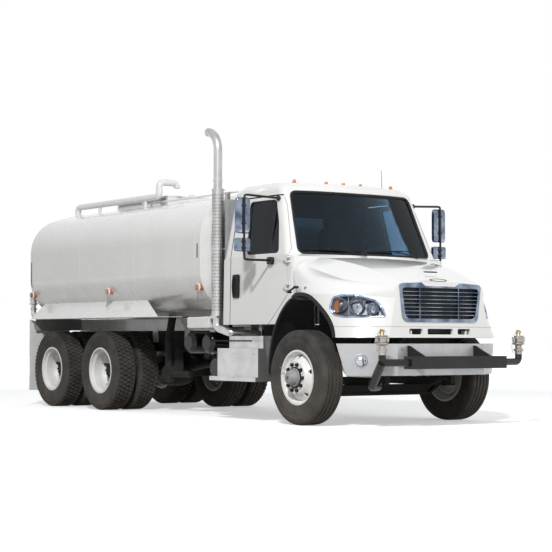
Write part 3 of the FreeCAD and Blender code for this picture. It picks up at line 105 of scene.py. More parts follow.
def add_rod(bm, start, end, radius, end_radius=None, segments=20):
    start, end = Vector(start), Vector(end)
    along = end - start
    place = Matrix.Translation((start + end) / 2) @ turned_to(along)
    bmesh.ops.create_cone(
        bm, cap_ends=True, segments=segments, radius1=radius,
        radius2=radius if end_radius is None else end_radius, depth=along.length, matrix=place)


def add_ball(bm, centre, radius):
    bmesh.ops.create_uvsphere(bm, u_segments=20, v_segments=12, radius=radius,
                              matrix=Matrix.Translation(centre))


def add_spun(bm, profile, centre, axis, steps=48):
    """Spin a section of (along, radius) pairs about an axis through a centre."""
    axis = Vector(axis).normalized()
    side = axis.orthogonal().normalized()
    centre = Vector(centre)
    points = [bm.verts.new(centre + axis * a + side * r) for a, r in profile]
    edges = [bm.edges.new(pair) for pair in zip(points, points[1:] + points[:1])]
    bmesh.ops.spin(bm, geom=points + edges, cent=centre, axis=axis, angle=math.tau,
                   steps=steps, use_merge=True, use_duplicate=False)


def add_plate(bm, outline, along):
    """Push a flat outline out along a vector."""
    points = [bm.verts.new(Vector(p)) for p in outline]
    face = bm.faces.new(points)
    out = bmesh.ops.extrude_face_region(bm, geom=[face])
    moved = [g for g in out["geom"] if isinstance(g, bmesh.types.BMVert)]
    bmesh.ops.translate(bm, verts=moved, vec=Vector(along))


def add_hex(bm, centre, axis, across, height):
    """A hexagon head or nut with its washer under it."""
    centre, axis = Vector(centre), Vector(axis).normalized()
    add_rod(bm, centre, centre + axis * height * 0.22, across * 0.66, segments=16)
    add_rod(bm, centre + axis * height * 0.2, centre + axis * height, across * 0.56, segments=6)


def repeat_round(bm, axis, count):
    """Repeat everything in a bmesh evenly round an axis."""
    bmesh.ops.spin(bm, geom=bm.verts[:] + bm.edges[:] + bm.faces[:], cent=(0, 0, 0), axis=axis,
                   angle=math.tau * (count - 1) / count, steps=count - 1, use_duplicate=True)


def soften(bm, width, segments=2, angle=40):
    """Round the edges that turn more than an angle."""
    bmesh.ops.recalc_face_normals(bm, faces=bm.faces)
    sharp = [e for e in bm.edges if len(e.link_faces) == 2
             and e.calc_face_angle(0) > math.radians(angle)]
    bmesh.ops.bevel(bm, geom=sharp, offset=width, offset_type="OFFSET", affect="EDGES",
                    segments=segments, profile=0.5, material=-1, clamp_overlap=True)


def add_tube(bm, points, radius, smooth=True, closed=False):
    """A round bar whose centre line runs through points."""
    curve = bpy.data.curves.new("tube", "CURVE")
    curve.dimensions = "3D"
    curve.bevel_depth = radius
    curve.bevel_resolution = 4
    curve.resolution_u = 6
    curve.use_fill_caps = True
    spline = curve.splines.new("NURBS" if smooth else "POLY")
    spline.points.add(len(points) - 1)
    for point, place in zip(spline.points, points):
        point.co = (*place, 1)
    if smooth:
        spline.order_u = 3
        spline.use_endpoint_u = not closed
    spline.use_cyclic_u = closed
    holder = bpy.data.objects.new("tube", curve)
    mesh = bpy.data.meshes.new_from_object(holder)
    bpy.data.objects.remove(holder)
    bpy.data.curves.remove(curve)
    bm.from_mesh(mesh)
    bpy.data.meshes.remove(mesh)


# The colour slot of each finish that has no slot of its own name.
SLOTS = {
    "gray_panel": "engine_gray", "strip_red": "amber_lens", "red_lens": "amber_lens",
    "belt_yellow": "amber_lens", "seal_rubber": "black_paint", "black_plastic": "black_paint",
    "grille_dark": "black_paint", "lamp_shell": "black_paint", "strip_dark": "black_paint",
    "seat_cloth": "cab_trim", "cab_lining": "cab_trim", "seam_gray": "white_paint",
    "lamp_silver": "bright_chrome", "mirror_glass": "bright_chrome",
    "nozzle_steel": "cast_fitting", "brass": "cast_fitting",
}


def piece(name, bm, finish_name, body="chassis", slot=None, angle=35, weld=True):
    """Turn a bmesh, measured from the front axle, into a finished object on its body."""
    move(bm, (0, -FORWARD, 0))
    if weld:
        bmesh.ops.remove_doubles(bm, verts=bm.verts, dist=1e-6)
    bmesh.ops.recalc_face_normals(bm, faces=bm.faces)
    mesh = bpy.data.meshes.new(name)
    bm.to_mesh(mesh)
    bm.free()
    mesh.materials.append(FINISHES[finish_name])
    obj = bpy.data.objects.new(name, mesh)
    bpy.context.scene.collection.objects.link(obj)
    for face in mesh.polygons:
        face.use_smooth = True
    mesh.set_sharp_from_angle(angle=math.radians(angle))
    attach(obj, body)
    slot or SLOTS.get(finish_name, finish_name)
    return obj


# ---------------------------------------------------------------- materials
FINISHES = {}
DUST = (0.36, 0.31, 0.25)
MATT_SHINE = 0.18


def feed(tree, socket, value):
    """Link an output to a socket, or set the socket's own value."""
    if isinstance(value, bpy.types.NodeSocket):
        tree.links.new(value, socket)
    elif isinstance(value, tuple) and socket.type == "RGBA":
        socket.default_value = (*value, 1)
    else:
        socket.default_value = value


def node(tree, kind, sockets=None, **settings):
    """Add a node with its settings and what goes into its sockets."""
    made = tree.nodes.new(kind)
    for key, value in settings.items():
        setattr(made, key, value)
    for key, value in (sockets or {}).items():
        feed(tree, made.inputs[key], value)
    return made


def group(name, inputs, outputs):
    """A node group of plain values: its tree and its input and output nodes."""
    tree = bpy.data.node_groups.new(name, "ShaderNodeTree")
    for label, default in inputs.items():
        tree.interface.new_socket(label, in_out="INPUT",
                                  socket_type="NodeSocketFloat").default_value = default
    for label in outputs:
        tree.interface.new_socket(label, in_out="OUTPUT", socket_type="NodeSocketFloat")
    return tree, tree.nodes.new("NodeGroupInput"), tree.nodes.new("NodeGroupOutput")


def noise(tree, place, scale, detail, roughness=0.55):
    return node(tree, "ShaderNodeTexNoise",
                {"Vector": place, "Scale": scale, "Detail": detail,
                 "Roughness": roughness}).outputs["Fac"]


def ramp(tree, value, low, high):
    """Remap a value so that low gives 0 and high gives 1."""
    return node(tree, "ShaderNodeMapRange",
                {"Value": value, "From Min": low, "From Max": high}).outputs["Result"]


def combine(tree, a, b, operation="MULTIPLY"):
    """Work out one value from two."""
    return node(tree, "ShaderNodeMath", {0: a, 1: b}, operation=operation).outputs[0]


def road_dust_group():
    """Dust that thickens towards the ground and gathers in soft patches."""
    tree, source, sink = group("road_dust", {"Reach": 1.1, "Amount": 0.5}, ("Mask",))
    place = node(tree, "ShaderNodeTexCoord").outputs["Object"]
    height = node(tree, "ShaderNodeSeparateXYZ", {0: place}).outputs["Z"]
    low = combine(tree, height, source.outputs["Reach"], "DIVIDE")
    clear = combine(tree, combine(tree, 1.0, low, "SUBTRACT"), 0, "MAXIMUM")
    both = combine(tree, ramp(tree, noise(tree, place, 3.2, 5), 0.3, 0.75),
                   ramp(tree, noise(tree, place, 45, 3), 0.25, 0.8))
    spread = combine(tree, combine(tree, both, 0.7), 0.3, "ADD")
    mask = combine(tree, combine(tree, clear, spread), source.outputs["Amount"])
    feed(tree, sink.inputs["Mask"], mask)


def surface_waves_group():
    """A faint waviness, coarse and fine, as a height."""
    tree, source, sink = group("surface_waves", {"Coarse": 6.0, "Fine": 160.0, "Share": 0.3},
                               ("Height", "Patches"))
    place = node(tree, "ShaderNodeTexCoord").outputs["Object"]
    coarse, fine = (noise(tree, place, source.outputs[label], 2, 0.5)
                    for label in ("Coarse", "Fine"))
    small = combine(tree, fine, source.outputs["Share"])
    feed(tree, sink.inputs["Height"], combine(tree, coarse, small, "ADD"))
    feed(tree, sink.inputs["Patches"], ramp(tree, coarse, 0.35, 0.65))


def streak_group():
    """Thin runs down a face, where water has carried dirt."""
    tree, source, sink = group("rain_streaks", {"Width": 18.0}, ("Mask",))
    place = node(tree, "ShaderNodeTexCoord").outputs["Object"]
    stretched = node(tree, "ShaderNodeMapping", {"Vector": place, "Scale": (1, 1, 0.07)})
    fine = noise(tree, stretched.outputs[0], source.outputs["Width"], 4, 0.5)
    patches = ramp(tree, noise(tree, place, 1.7, 2), 0.35, 0.7)
    feed(tree, sink.inputs["Mask"], combine(tree, ramp(tree, fine, 0.52, 0.78), patches))


def new_material(name):
    """A finish under its own name; gives its node tree."""
    FINISHES[name] = bpy.data.materials.new(name)
    FINISHES[name].use_nodes = True
    return FINISHES[name].node_tree


def base_material(name, colour, roughness, metallic=0.0):
    tree = new_material(name)
    gloss = tree.nodes["Principled BSDF"]
    feed(tree, gloss.inputs["Base Color"], tuple(colour))
    feed(tree, gloss.inputs["Roughness"], roughness)
    feed(tree, gloss.inputs["Metallic"], metallic)
    return tree, gloss


def use_group(tree, name, **values):
    return node(tree, "ShaderNodeGroup", values, node_tree=bpy.data.node_groups[name]).outputs


def mix_colour(tree, factor, first, second):
    return node(tree, "ShaderNodeMix", {0: factor, 6: first, 7: second},
                data_type="RGBA").outputs[2]


def darker(colour, share):
    return tuple(c * share for c in colour)


def add_bump(tree, gloss, height, strength, distance):
    bump = node(tree, "ShaderNodeBump",
                {"Height": height, "Strength": strength, "Distance": distance})
    feed(tree, gloss.inputs["Normal"], bump.outputs["Normal"])


def painted(name, colour, shade, roughness, dust=0.0, reach=1.0, coat=0.0, metallic=0.0,
            wave=0.05, grain=0.0, streaks=0.0, fine=160.0, coarse=6.0, shine=0.5):
    """Paint with soft tone patches, dust low down, streaks and a slight waviness."""
    tree, gloss = base_material(name, colour, roughness, metallic)
    feed(tree, gloss.inputs["Coat Weight"], coat)
    feed(tree, gloss.inputs["Coat Roughness"], 0.08)
    feed(tree, gloss.inputs["Specular IOR Level"], shine)
    waves = use_group(tree, "surface_waves", Coarse=coarse, Fine=fine, Share=grain)
    tone = mix_colour(tree, waves["Patches"], colour, shade)
    if streaks:
        runs = combine(tree, use_group(tree, "rain_streaks")["Mask"], streaks)
        tone = mix_colour(tree, runs, tone, darker(DUST, 0.55))
    soil = use_group(tree, "road_dust", Reach=reach, Amount=dust)["Mask"]
    feed(tree, gloss.inputs["Base Color"], mix_colour(tree, soil, tone, DUST))
    rough = combine(tree, combine(tree, soil, 0.5), roughness, "ADD")
    feed(tree, gloss.inputs["Roughness"],
         combine(tree, rough, combine(tree, waves["Patches"], 0.06), "ADD"))
    add_bump(tree, gloss, waves["Height"], 0.25, wave * 0.01)


def lens(name, colour):
    """A moulded lens: deep colour, fine ribs and a bright coat."""
    tree, gloss = base_material(name, colour, 0.12)
    feed(tree, gloss.inputs["Coat Weight"], 0.6)
    feed(tree, gloss.inputs["Transmission Weight"], 0.25)
    place = node(tree, "ShaderNodeTexCoord").outputs["Object"]
    ribs = node(tree, "ShaderNodeTexWave", {"Vector": place, "Scale": 60},
                wave_type="BANDS", bands_direction="Y").outputs["Fac"]
    feed(tree, gloss.inputs["Base Color"],
         mix_colour(tree, ribs, colour, darker(colour, 0.7)))
    add_bump(tree, gloss, ribs, 0.4, 0.002)


def pane(name, tint, shine):
    """A pane: what is behind it, tinted, under a mirror that grows at grazing angles."""
    tree = new_material(name)
    tree.nodes.remove(tree.nodes["Principled BSDF"])
    waves = use_group(tree, "surface_waves", Coarse=1.4, Fine=30.0, Share=0.05)
    tone = mix_colour(tree, waves["Patches"], tint, darker(tint, 0.9))
    through = node(tree, "ShaderNodeBsdfTransparent", {"Color": tone})
    # The mirror's pale blue colour is painted reflection of a sky; the background it reflects is white.
    mirror = node(tree, "ShaderNodeBsdfGlossy", {"Color": (0.86, 0.93, 1.0), "Roughness": 0.02})
    edge = node(tree, "ShaderNodeFresnel", {"IOR": 1.22})
    share = combine(tree, combine(tree, edge.outputs[0], shine), 0.003, "ADD")
    blend = node(tree, "ShaderNodeMixShader",
                 {0: share, 1: through.outputs[0], 2: mirror.outputs[0]})
    feed(tree, tree.nodes["Material Output"].inputs[0], blend.outputs[0])


def make_finishes():
    """Make the shared groups, then every finish."""
    road_dust_group()
    surface_waves_group()
    streak_group()
    white = tuple(bpy.context.scene.tanker_look.body_colour)
    painted("white_paint", white, darker(white, 0.955), 0.24, 0.16, 1.5, coat=0.7, wave=0.02,
            streaks=0.07, coarse=2.4)
    painted("cab_paint", white, darker(white, 0.97), 0.2, 0.16, 1.3, coat=0.9, coarse=2.0)
    painted("white_wheel", (0.86, 0.86, 0.85), (0.80, 0.79, 0.77), 0.4, 0.14)
    painted("chassis_black", (0.010, 0.010, 0.011), (0.018, 0.017, 0.016), 0.6, 0.10, grain=0.5,
            shine=MATT_SHINE)
    painted("black_paint", (0.007, 0.007, 0.008), (0.012, 0.012, 0.012), 0.36, 0.04, 0.8, coat=0.3,
            shine=MATT_SHINE)
    # Whiter than the body's paint: painted light, standing in for sunlight on the mud flaps, which sit in
    # shade.
    painted("flap_white_painted_lit", (0.84, 0.84, 0.83), (0.78, 0.77, 0.75), 0.5, 0.12)
    painted("cab_lining", (0.055, 0.057, 0.062), (0.075, 0.077, 0.08), 0.75, 0.05, grain=0.8,
            fine=400.0, shine=MATT_SHINE)
    painted("lamp_shell", (0.10, 0.105, 0.115), (0.16, 0.165, 0.175), 0.22, 0.02, metallic=0.6)
    painted("black_plastic", (0.010, 0.010, 0.011), (0.016, 0.016, 0.016), 0.55, 0.04, 1.4,
            grain=1.0, fine=700.0, shine=MATT_SHINE)
    painted("silver_paint", (0.46, 0.47, 0.48), (0.41, 0.42, 0.43), 0.36, 0.18, 0.9, metallic=0.35,
            coat=0.2)
    # engine_gray and cast_fitting are near black: partly the parts' own dark finish, partly painted shade,
    # darkened to match the shaded gap by the air tanks and pump.
    painted("engine_gray", (0.030, 0.030, 0.031), (0.018, 0.018, 0.018), 0.65, 0.12, 1.4,
            grain=0.6, shine=MATT_SHINE)
    painted("cast_fitting", (0.035, 0.035, 0.036), (0.055, 0.05, 0.045), 0.5, 0.12, 0.9,
            metallic=0.4, grain=0.8, fine=260.0)
    painted("cast_iron", (0.075, 0.072, 0.07), (0.045, 0.042, 0.04), 0.55, 0.18, metallic=0.5,
            grain=0.9, fine=220.0)
    painted("bright_steel", (0.55, 0.55, 0.55), (0.42, 0.41, 0.4), 0.28, metallic=1.0, grain=0.3,
            fine=90.0)
    painted("aluminium_plate", (0.60, 0.60, 0.60), (0.52, 0.52, 0.515), 0.33, 0.18, 0.9,
            metallic=0.9, grain=0.4, fine=120.0)
    # Dark blue chrome with lighter blue patches: the blue and the patches are painted reflection of a sky,
    # which the white surroundings don't give.
    painted("bright_chrome", (0.09, 0.13, 0.20), (0.32, 0.37, 0.46), 0.10, metallic=1.0, wave=0.02)
    painted("brass", (0.50, 0.34, 0.12), (0.36, 0.24, 0.09), 0.32, metallic=1.0, grain=0.5)
    painted("gray_panel", (0.33, 0.34, 0.345), (0.28, 0.285, 0.29), 0.5, 0.1, 1.5)
    painted("cab_trim", (0.035, 0.034, 0.036), (0.05, 0.048, 0.047), 0.7, grain=1.0, fine=500.0)
    painted("seal_rubber", (0.014, 0.014, 0.014), (0.022, 0.022, 0.021), 0.55, 0.05, 1.5,
            grain=0.6, fine=300.0, shine=MATT_SHINE)
    painted("tyre_rubber", (0.040, 0.039, 0.038), (0.070, 0.067, 0.063), 0.78, 0.34, 0.9,
            grain=1.0, fine=180.0, wave=0.10, shine=MATT_SHINE)
    painted("belt_yellow", (0.62, 0.42, 0.03), (0.5, 0.33, 0.02), 0.7, grain=1.0, fine=900.0)
    painted("strip_red", (0.15, 0.012, 0.012), (0.11, 0.01, 0.01), 0.3, coat=0.4)
    painted("strip_dark", (0.05, 0.055, 0.06), (0.08, 0.085, 0.09), 0.22, coat=0.6)
    painted("seat_cloth", (0.045, 0.045, 0.048), (0.07, 0.068, 0.07), 0.85, grain=1.0, fine=900.0)
    painted("seam_gray", (0.30, 0.30, 0.30), (0.36, 0.36, 0.36), 0.6)
    painted("grille_dark", (0.012, 0.012, 0.013), (0.03, 0.03, 0.03), 0.6, grain=0.5)
    painted("lamp_silver", (0.62, 0.64, 0.68), (0.42, 0.44, 0.48), 0.16, metallic=1.0, wave=0.02)
    painted("nozzle_steel", (0.50, 0.47, 0.43), (0.33, 0.31, 0.28), 0.34, 0.10, 1.2, metallic=1.0,
            grain=0.6)
    lens("amber_lens", (0.78, 0.24, 0.02))
    lens("red_lens", (0.42, 0.012, 0.01))
    pane("clear_lens", (0.95, 0.96, 0.97), 1.0)
    pane("tinted_glass", (0.52, 0.66, 0.76), 1.3)
    tree, gloss = base_material("mirror_glass", (0.62, 0.66, 0.7), 0.03, 1.0)
    waves = use_group(tree, "surface_waves", Coarse=3.0, Fine=30.0, Share=0.02)
    feed(tree, gloss.inputs["Base Color"],
         mix_colour(tree, waves["Patches"], (0.62, 0.66, 0.7), (0.56, 0.6, 0.65)))


# Nodes whose finish isn't the one that their colour slot names.
NODE_FINISH = {"cab_shell": "cab_paint", "door_left": "cab_paint",
               "door_right": "cab_paint", "hood": "cab_paint",
               "spray_heads": "nozzle_steel", "hood_lips": "seal_rubber",
               "cab_lips": "seal_rubber", "mirror_right": "black_paint",
               "mirror_left": "black_paint", "mud_flaps": "flap_white_painted_lit",
               "water_pump": "engine_gray"}


def paint_frame():
    """Give every construction node its own finish."""
    slots = {part["node"]: part["material_slot"] for part in frame["record"]["subparts"]}
    for name, obj in frame["nodes"].items():
        obj.data.materials.clear()
        obj.data.materials.append(FINISHES[NODE_FINISH.get(name, slots[name])])
        obj.data.set_sharp_from_angle(angle=math.radians(32))


# ---------------------------------------------------------------- shared shapes
def copy_of(name):
    """A merged bmesh of a construction node, measured from the front axle."""
    source = frame["nodes"][name]
    bm = bmesh.new()
    bm.from_mesh(source.data)
    bm.transform(source.matrix_world)
    move(bm, (0, FORWARD, 0))
    bmesh.ops.remove_doubles(bm, verts=bm.verts, dist=1e-5)
    bmesh.ops.recalc_face_normals(bm, faces=bm.faces)
    return bm


def keep_faces(bm, wanted):
    dropped = [f for f in bm.faces if not wanted(f)]
    bmesh.ops.delete(bm, geom=dropped, context="FACES")


def sheet_of(name, facing, share=0.5, inside=None):
    """The skin of a node that looks a given way."""
    bm = copy_of(name)
    facing = Vector(facing).normalized()
    keep_faces(bm, lambda f: f.normal.dot(facing) > share
               and (inside is None or inside(f.calc_center_median())))
    return bm


def trim(bm, place, normal):
    """Cut a bmesh with a plane and drop the side that the normal points to."""
    bmesh.ops.bisect_plane(bm, geom=bm.verts[:] + bm.edges[:] + bm.faces[:], dist=1e-6,
                           plane_co=Vector(place), plane_no=Vector(normal), clear_outer=True)


def thicken(bm, gauge):
    """Give a sheet a thickness outwards."""
    bmesh.ops.solidify(bm, geom=bm.faces[:], thickness=-gauge)


def outline_of(bm):
    """The points round the longest open edge of a sheet, in order."""
    open_edges = dict.fromkeys(e for e in bm.edges if e.is_boundary)
    loops = []
    while open_edges:
        edge = open_edges.popitem()[0]
        loop = [edge.verts[0], edge.verts[1]]
        growing = True
        while growing:
            growing = False
            for follower in loop[-1].link_edges:
                if follower in open_edges:
                    del open_edges[follower]
                    loop.append(follower.other_vert(loop[-1]))
                    growing = True
                    break
        loops.append(loop)
    longest = max(loops, key=lambda loop: sum((a.co - b.co).length
                                              for a, b in zip(loop, loop[1:])))
    return [v.co.copy() for v in longest[:-1]]


def even_points(points, gap):
    """A closed line's points, none closer together than a gap."""
    kept = [points[0]]
    for point in points[1:]:
        if (point - kept[-1]).length >= gap:
            kept.append(point)
    return kept


def drawn_in(line, depth, lift=Vector()):
    """A closed line moved towards its own middle, and then lifted."""
    middle = sum(line, Vector()) / len(line)
    return [p + (middle - p).normalized() * depth + lift for p in line]


def skin_line(bm, low, high, axis=2, lift=0.0015):
    """Keep a narrow band of a skin between two planes and raise it a little."""
    normal = Vector((0, 0, 0))
    normal[axis] = 1
    trim(bm, normal * high, normal)
    trim(bm, normal * low, -normal)
    thicken(bm, lift)


def join_in(bm, other):
    """Move all of one bmesh into another."""
    mesh = bpy.data.meshes.new("part")
    other.to_mesh(mesh)
    other.free()
    bm.from_mesh(mesh)
    bpy.data.meshes.remove(mesh)


def rounded_box(bm, low, high, power=6, cuts=6, matrix=None):
    """A box with full, softly rounded sides, like a cushion or a moulding."""
    box = bmesh.new()
    bmesh.ops.create_cube(box, size=2)
    bmesh.ops.subdivide_edges(box, edges=box.edges[:], cuts=cuts, use_grid_fill=True)
    low, high = Vector(low), Vector(high)
    for v in box.verts:
        length = sum(abs(c) ** power for c in v.co) ** (1 / power)
        v.co = (low + high) / 2 + Vector([c / length * h / 2
                                          for c, h in zip(v.co, high - low)])
        if matrix:
            v.co = matrix @ v.co
    bmesh.ops.recalc_face_normals(box, faces=box.faces)
    join_in(bm, box)


def add_bolts(bm, places, axis, across=0.024, height=0.014):
    for place in places:
        add_hex(bm, place, axis, across / 1.1, height)


def each_side():
    for side, sign in SIDES:
        yield side, sign, bmesh.new()


# ---------------------------------------------------------------- wheels
def tyre_section(grooves, depth, top=TYRE_RADIUS):
    """Section of a tyre as (along, radius), with round grooves in its tread."""
    flank = [(0.112, 0.286), (0.121, 0.312), (0.124, 0.314), (0.136, 0.366), (0.1385, 0.368),
             (0.140, 0.411), (0.1365, 0.440), (0.1385, 0.444), (0.1335, 0.461),
             (0.124, 0.494), (0.113, 0.507), (0.104, top - 0.003)]
    tread = []
    for centre in grooves:
        tread += [(centre + 0.006, top), (centre + 0.004, top - depth),
                  (centre - 0.004, top - depth), (centre - 0.006, top)]
    return flank + tread + [(-a, r) for a, r in flank[::-1]]


def add_ribbed_tyre(bm, centre, depth):
    add_spun(bm, tyre_section((0.072, 0.025, -0.025, -0.072), depth), centre, (1, 0, 0),
             ROUND_STEPS)


def add_block_tyre(bm, centre, depth):
    """A drive tyre: blocks in four rows on a smaller round body."""
    base = TYRE_RADIUS - depth
    add_spun(bm, tyre_section((), 0, base), centre, (1, 0, 0), ROUND_STEPS)
    blocks = bmesh.new()
    for row, (along, width, length, turn) in enumerate(
            ((-0.088, 0.040, 0.036, 14), (-0.029, 0.044, 0.034, -12),
             (0.029, 0.044, 0.034, -12), (0.088, 0.040, 0.036, 14))):
        shift = turned(3.2 * (row % 2), "X")
        spin = turned(turn, "Z")
        place = shift @ Matrix.Translation((along, 0, 0)) @ spin
        add_box(blocks, (-width / 2, -length / 2, base - 0.004),
                (width / 2, length / 2, TYRE_RADIUS - 0.0005), place)
    for sign in (-1, 1):
        add_box(blocks, (-0.010, -0.017, -0.014), (0.010, 0.017, 0.014),
                Matrix.Translation((sign * 0.1155, 0, 0.487))
                @ turned(sign * 24, "Y"))
    repeat_round(blocks, (1, 0, 0), TREAD_BLOCKS)
    bmesh.ops.translate(blocks, verts=blocks.verts, vec=Vector(centre))
    join_in(bm, blocks)


def make_tyres():
    depth = bpy.context.scene.tanker_wheels.tread_depth
    for side, sign in SIDES:
        bm = bmesh.new()
        add_ribbed_tyre(bm, (sign * TRACK, 0, WHEEL_Z), depth)
        made = piece(f"front_tread_{side}", bm, "tyre_rubber", f"front_wheel_{side}", weld=False)
        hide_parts(f"front_tyre_{side}")
        for axle, station in TANDEM.items():
            bm = bmesh.new()
            for shift in (0, PAIR):
                add_block_tyre(bm, (sign * (TRACK - shift), station, WHEEL_Z), depth)
            made = piece(f"{axle}_dual_tread_{side}", bm, "tyre_rubber", f"{axle}_dual_{side}", weld=False)
            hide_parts(f"{axle}_dual_tyres_{side}")


def ring_places(x, y, z, radius, count, start=0.0):
    for number in range(count):
        angle = start + math.tau * number / count
        yield (x, y + radius * math.cos(angle), z + radius * math.sin(angle))


def make_wheel_hardware():
    wheels = bpy.context.scene.tanker_wheels
    for side, sign in SIDES:
        out = (sign, 0, 0)
        bm = bmesh.new()
        add_bolts(bm, ring_places(sign * 1.1855, 0, WHEEL_Z, wheels.nut_circle,
                                  wheels.nut_count), out, 0.036, 0.026)
        add_spun(bm, [(0.0, 0.104), (0.0, 0.116), (0.010, 0.114), (0.012, 0.104)],
                 (sign * 1.186, 0, WHEEL_Z), out, 48)
        add_bolts(bm, ring_places(sign * 1.2655, 0, WHEEL_Z, 0.064, 6, 0.3), out, 0.014, 0.008)
        piece(f"front_nuts_{side}", bm, "chassis_black", f"front_wheel_{side}")
        bm = bmesh.new()
        add_spun(bm, [(0, 0.001), (0, 0.050), (0.006, 0.048), (0.009, 0.040), (0.009, 0.001)],
                 (sign * 1.2775, 0, WHEEL_Z), out, 40)
        add_spun(bm, [(0.0, 0.1045), (0.006, 0.1045), (0.018, 0.0985), (0.026, 0.098),
                      (0.026, 0.083), (0.078, 0.0735), (0.0925, 0.0625), (0.0925, 0.052),
                      (0.088, 0.052), (0.074, 0.066), (0.022, 0.076), (0.0, 0.096)],
                 (sign * 1.187, 0, WHEEL_Z), out, 48)
        add_rod(bm, (sign * 1.19, 0.212, WHEEL_Z + 0.10), (sign * 1.232, 0.218, WHEEL_Z + 0.103),
                0.0045, 0.0035, 12)
        piece(f"hub_cap_{side}", bm, "gray_panel", f"front_wheel_{side}")
        bm = bmesh.new()
        add_spun(bm, [(0, 0.001), (0, 0.021), (0.003, 0.020), (0.004, 0.001)],
                 (sign * 1.2862, 0, WHEEL_Z), out, 32)
        piece(f"hub_plug_{side}", bm, "strip_red", f"front_wheel_{side}")
        for axle, station in TANDEM.items():
            bm = bmesh.new()
            add_bolts(bm, ring_places(sign * 0.8835, station, WHEEL_Z, wheels.nut_circle,
                                      wheels.nut_count), out, 0.036, 0.03)
            add_spun(bm, [(0.0, 0.1075), (0.118, 0.103), (0.136, 0.096), (0.140, 0.086),
                          (0.140, 0.001), (0.134, 0.001), (0.134, 0.080), (0.0, 0.098)],
                     (sign * 0.8845, station, WHEEL_Z), out, 48)
            add_bolts(bm, ring_places(sign * 1.0242, station, WHEEL_Z, 0.066, 8), out,
                      0.022, 0.018)
            add_rod(bm, (sign * 0.89, station + 0.2, WHEEL_Z + 0.1),
                    (sign * 1.06, station + 0.235, WHEEL_Z + 0.118), 0.005, 0.004, 12)
            piece(f"{axle}_dual_nuts_{side}", bm, "chassis_black", f"{axle}_dual_{side}")


# ---------------------------------------------------------------- cab
def make_seals():
    """Rubber round every pane, laid on the pane's own edge, and the window bars."""
    panes = (("screen_seal", "cab_glass", (0, -1, 0.3), lambda c: c.y < 0.9, "chassis", 0.017),
             ("rear_seal", "cab_glass", (0, 1, 0), lambda c: c.y > 0.9, "chassis", 0.013),
             ("door_seal_right", "door_glass_right", (-1, 0, 0), None, "door_right", 0.013),
             ("door_seal_left", "door_glass_left", (1, 0, 0), None, "door_left", 0.013))
    for name, source, facing, inside, body, radius in panes:
        sheet = sheet_of(source, facing, 0.4, inside)
        line = even_points(outline_of(sheet), 0.008)
        drawn = drawn_in(line, radius * 0.5, Vector(facing).normalized() * 0.004)
        sheet.free()
        bm = bmesh.new()
        add_tube(bm, drawn, radius, smooth=False, closed=True)
        piece(name, bm, "seal_rubber", body, angle=60)
    for side, sign in SIDES:
        bm = bmesh.new()
        add_tube(bm, [(sign * 1.043, 0.675, 1.885), (sign * 1.028, 0.66, 2.10),
                      (sign * 0.968, 0.655, 2.42)], 0.011)
        piece(f"window_bar_{side}", bm, "seal_rubber", f"door_{side}")


def screen_face(x, z, off=0.0):
    """A place on the windscreen, moved off it by a gap."""
    y = 0.164 + 0.128 * x ** 2 + 0.397 * (z - 1.85)
    return Vector((x, y - off, z))


def make_wipers():
    """Two wipers lying on the windscreen."""
    bm = bmesh.new()
    for pivot, tip, low, high in ((-0.12, -0.50, (-0.86, 1.93), (-0.16, 1.91)),
                                  (0.68, 0.30, (-0.04, 1.91), (0.64, 1.935))):
        foot = screen_face(pivot, 1.862, 0.035)
        add_rod(bm, foot, foot + Vector((0, -0.014, 0.02)), 0.016, 0.012)
        add_tube(bm, [foot, screen_face(pivot - 0.10, 1.885, 0.045),
                      screen_face(tip, 1.925, 0.036)], 0.007)
        blade = [screen_face(low[0] + (high[0] - low[0]) * t,
                             low[1] + (high[1] - low[1]) * t, 0.018)
                 for t in (0, 0.25, 0.5, 0.75, 1)]
        add_tube(bm, blade, 0.006)
        add_tube(bm, [p + Vector((0, -0.012, 0.004)) for p in blade[1:4]], 0.005)
    piece("wipers", bm, "black_plastic")


def make_roof_fittings():
    """The roof's aerials and the bases of its five lamps."""
    bm = bmesh.new()
    add_spun(bm, [(0, 0.001), (0, 0.045), (0.022, 0.040), (0.036, 0.022), (0.040, 0.001)],
             (0.45, 0.85, 2.688), (0, 0, 1), 32)
    add_rod(bm, (0.65, 0.8, 2.66), (0.65, 0.8, 2.705), 0.02, 0.014)
    add_rod(bm, (0.65, 0.8, 2.70), (0.652, 0.815, 2.93), 0.0035, 0.0022, 10)
    piece("roof_aerials", bm, "black_plastic")
    bm = bmesh.new()
    for x in (-0.70, -0.25, 0, 0.25, 0.70):
        z = 2.655 if abs(x) > 0.5 else 2.681
        add_spun(bm, [(0, 0.030), (0, 0.044), (0.012, 0.041), (0.014, 0.030)], (x, 0.70, z),
                 (0, 0, 1), 28)
    piece("roof_lamp_bases", bm, "black_plastic")


def make_door_fittings():
    """A sunk handle with its grip and lock on each door, and a door stop."""
    for side, sign, bm in each_side():
        rounded_box(bm, (sign * 1.062, 1.245, 1.396), (sign * 1.100, 1.369, 1.664), 10, 7)
        front = [f for f in bm.faces if f.normal.x * sign > 0.9]
        bmesh.ops.inset_region(bm, faces=front, thickness=0.012, depth=-0.004,
                               use_even_offset=True)
        add_tube(bm, [(sign * 1.098, 1.335, 1.425), (sign * 1.116, 1.335, 1.445),
                      (sign * 1.116, 1.335, 1.612), (sign * 1.098, 1.335, 1.634)], 0.009)
        add_rod(bm, (sign * 1.094, 1.287, 1.455), (sign * 1.102, 1.287, 1.455), 0.013)
        piece(f"door_handle_{side}", bm, "black_plastic", f"door_{side}")
        bm = bmesh.new()
        rounded_box(bm, (sign * 1.036, 1.44, 1.12), (sign * 1.062, 1.462, 1.22), 8, 3)
        piece(f"door_stop_{side}", bm, "seal_rubber")


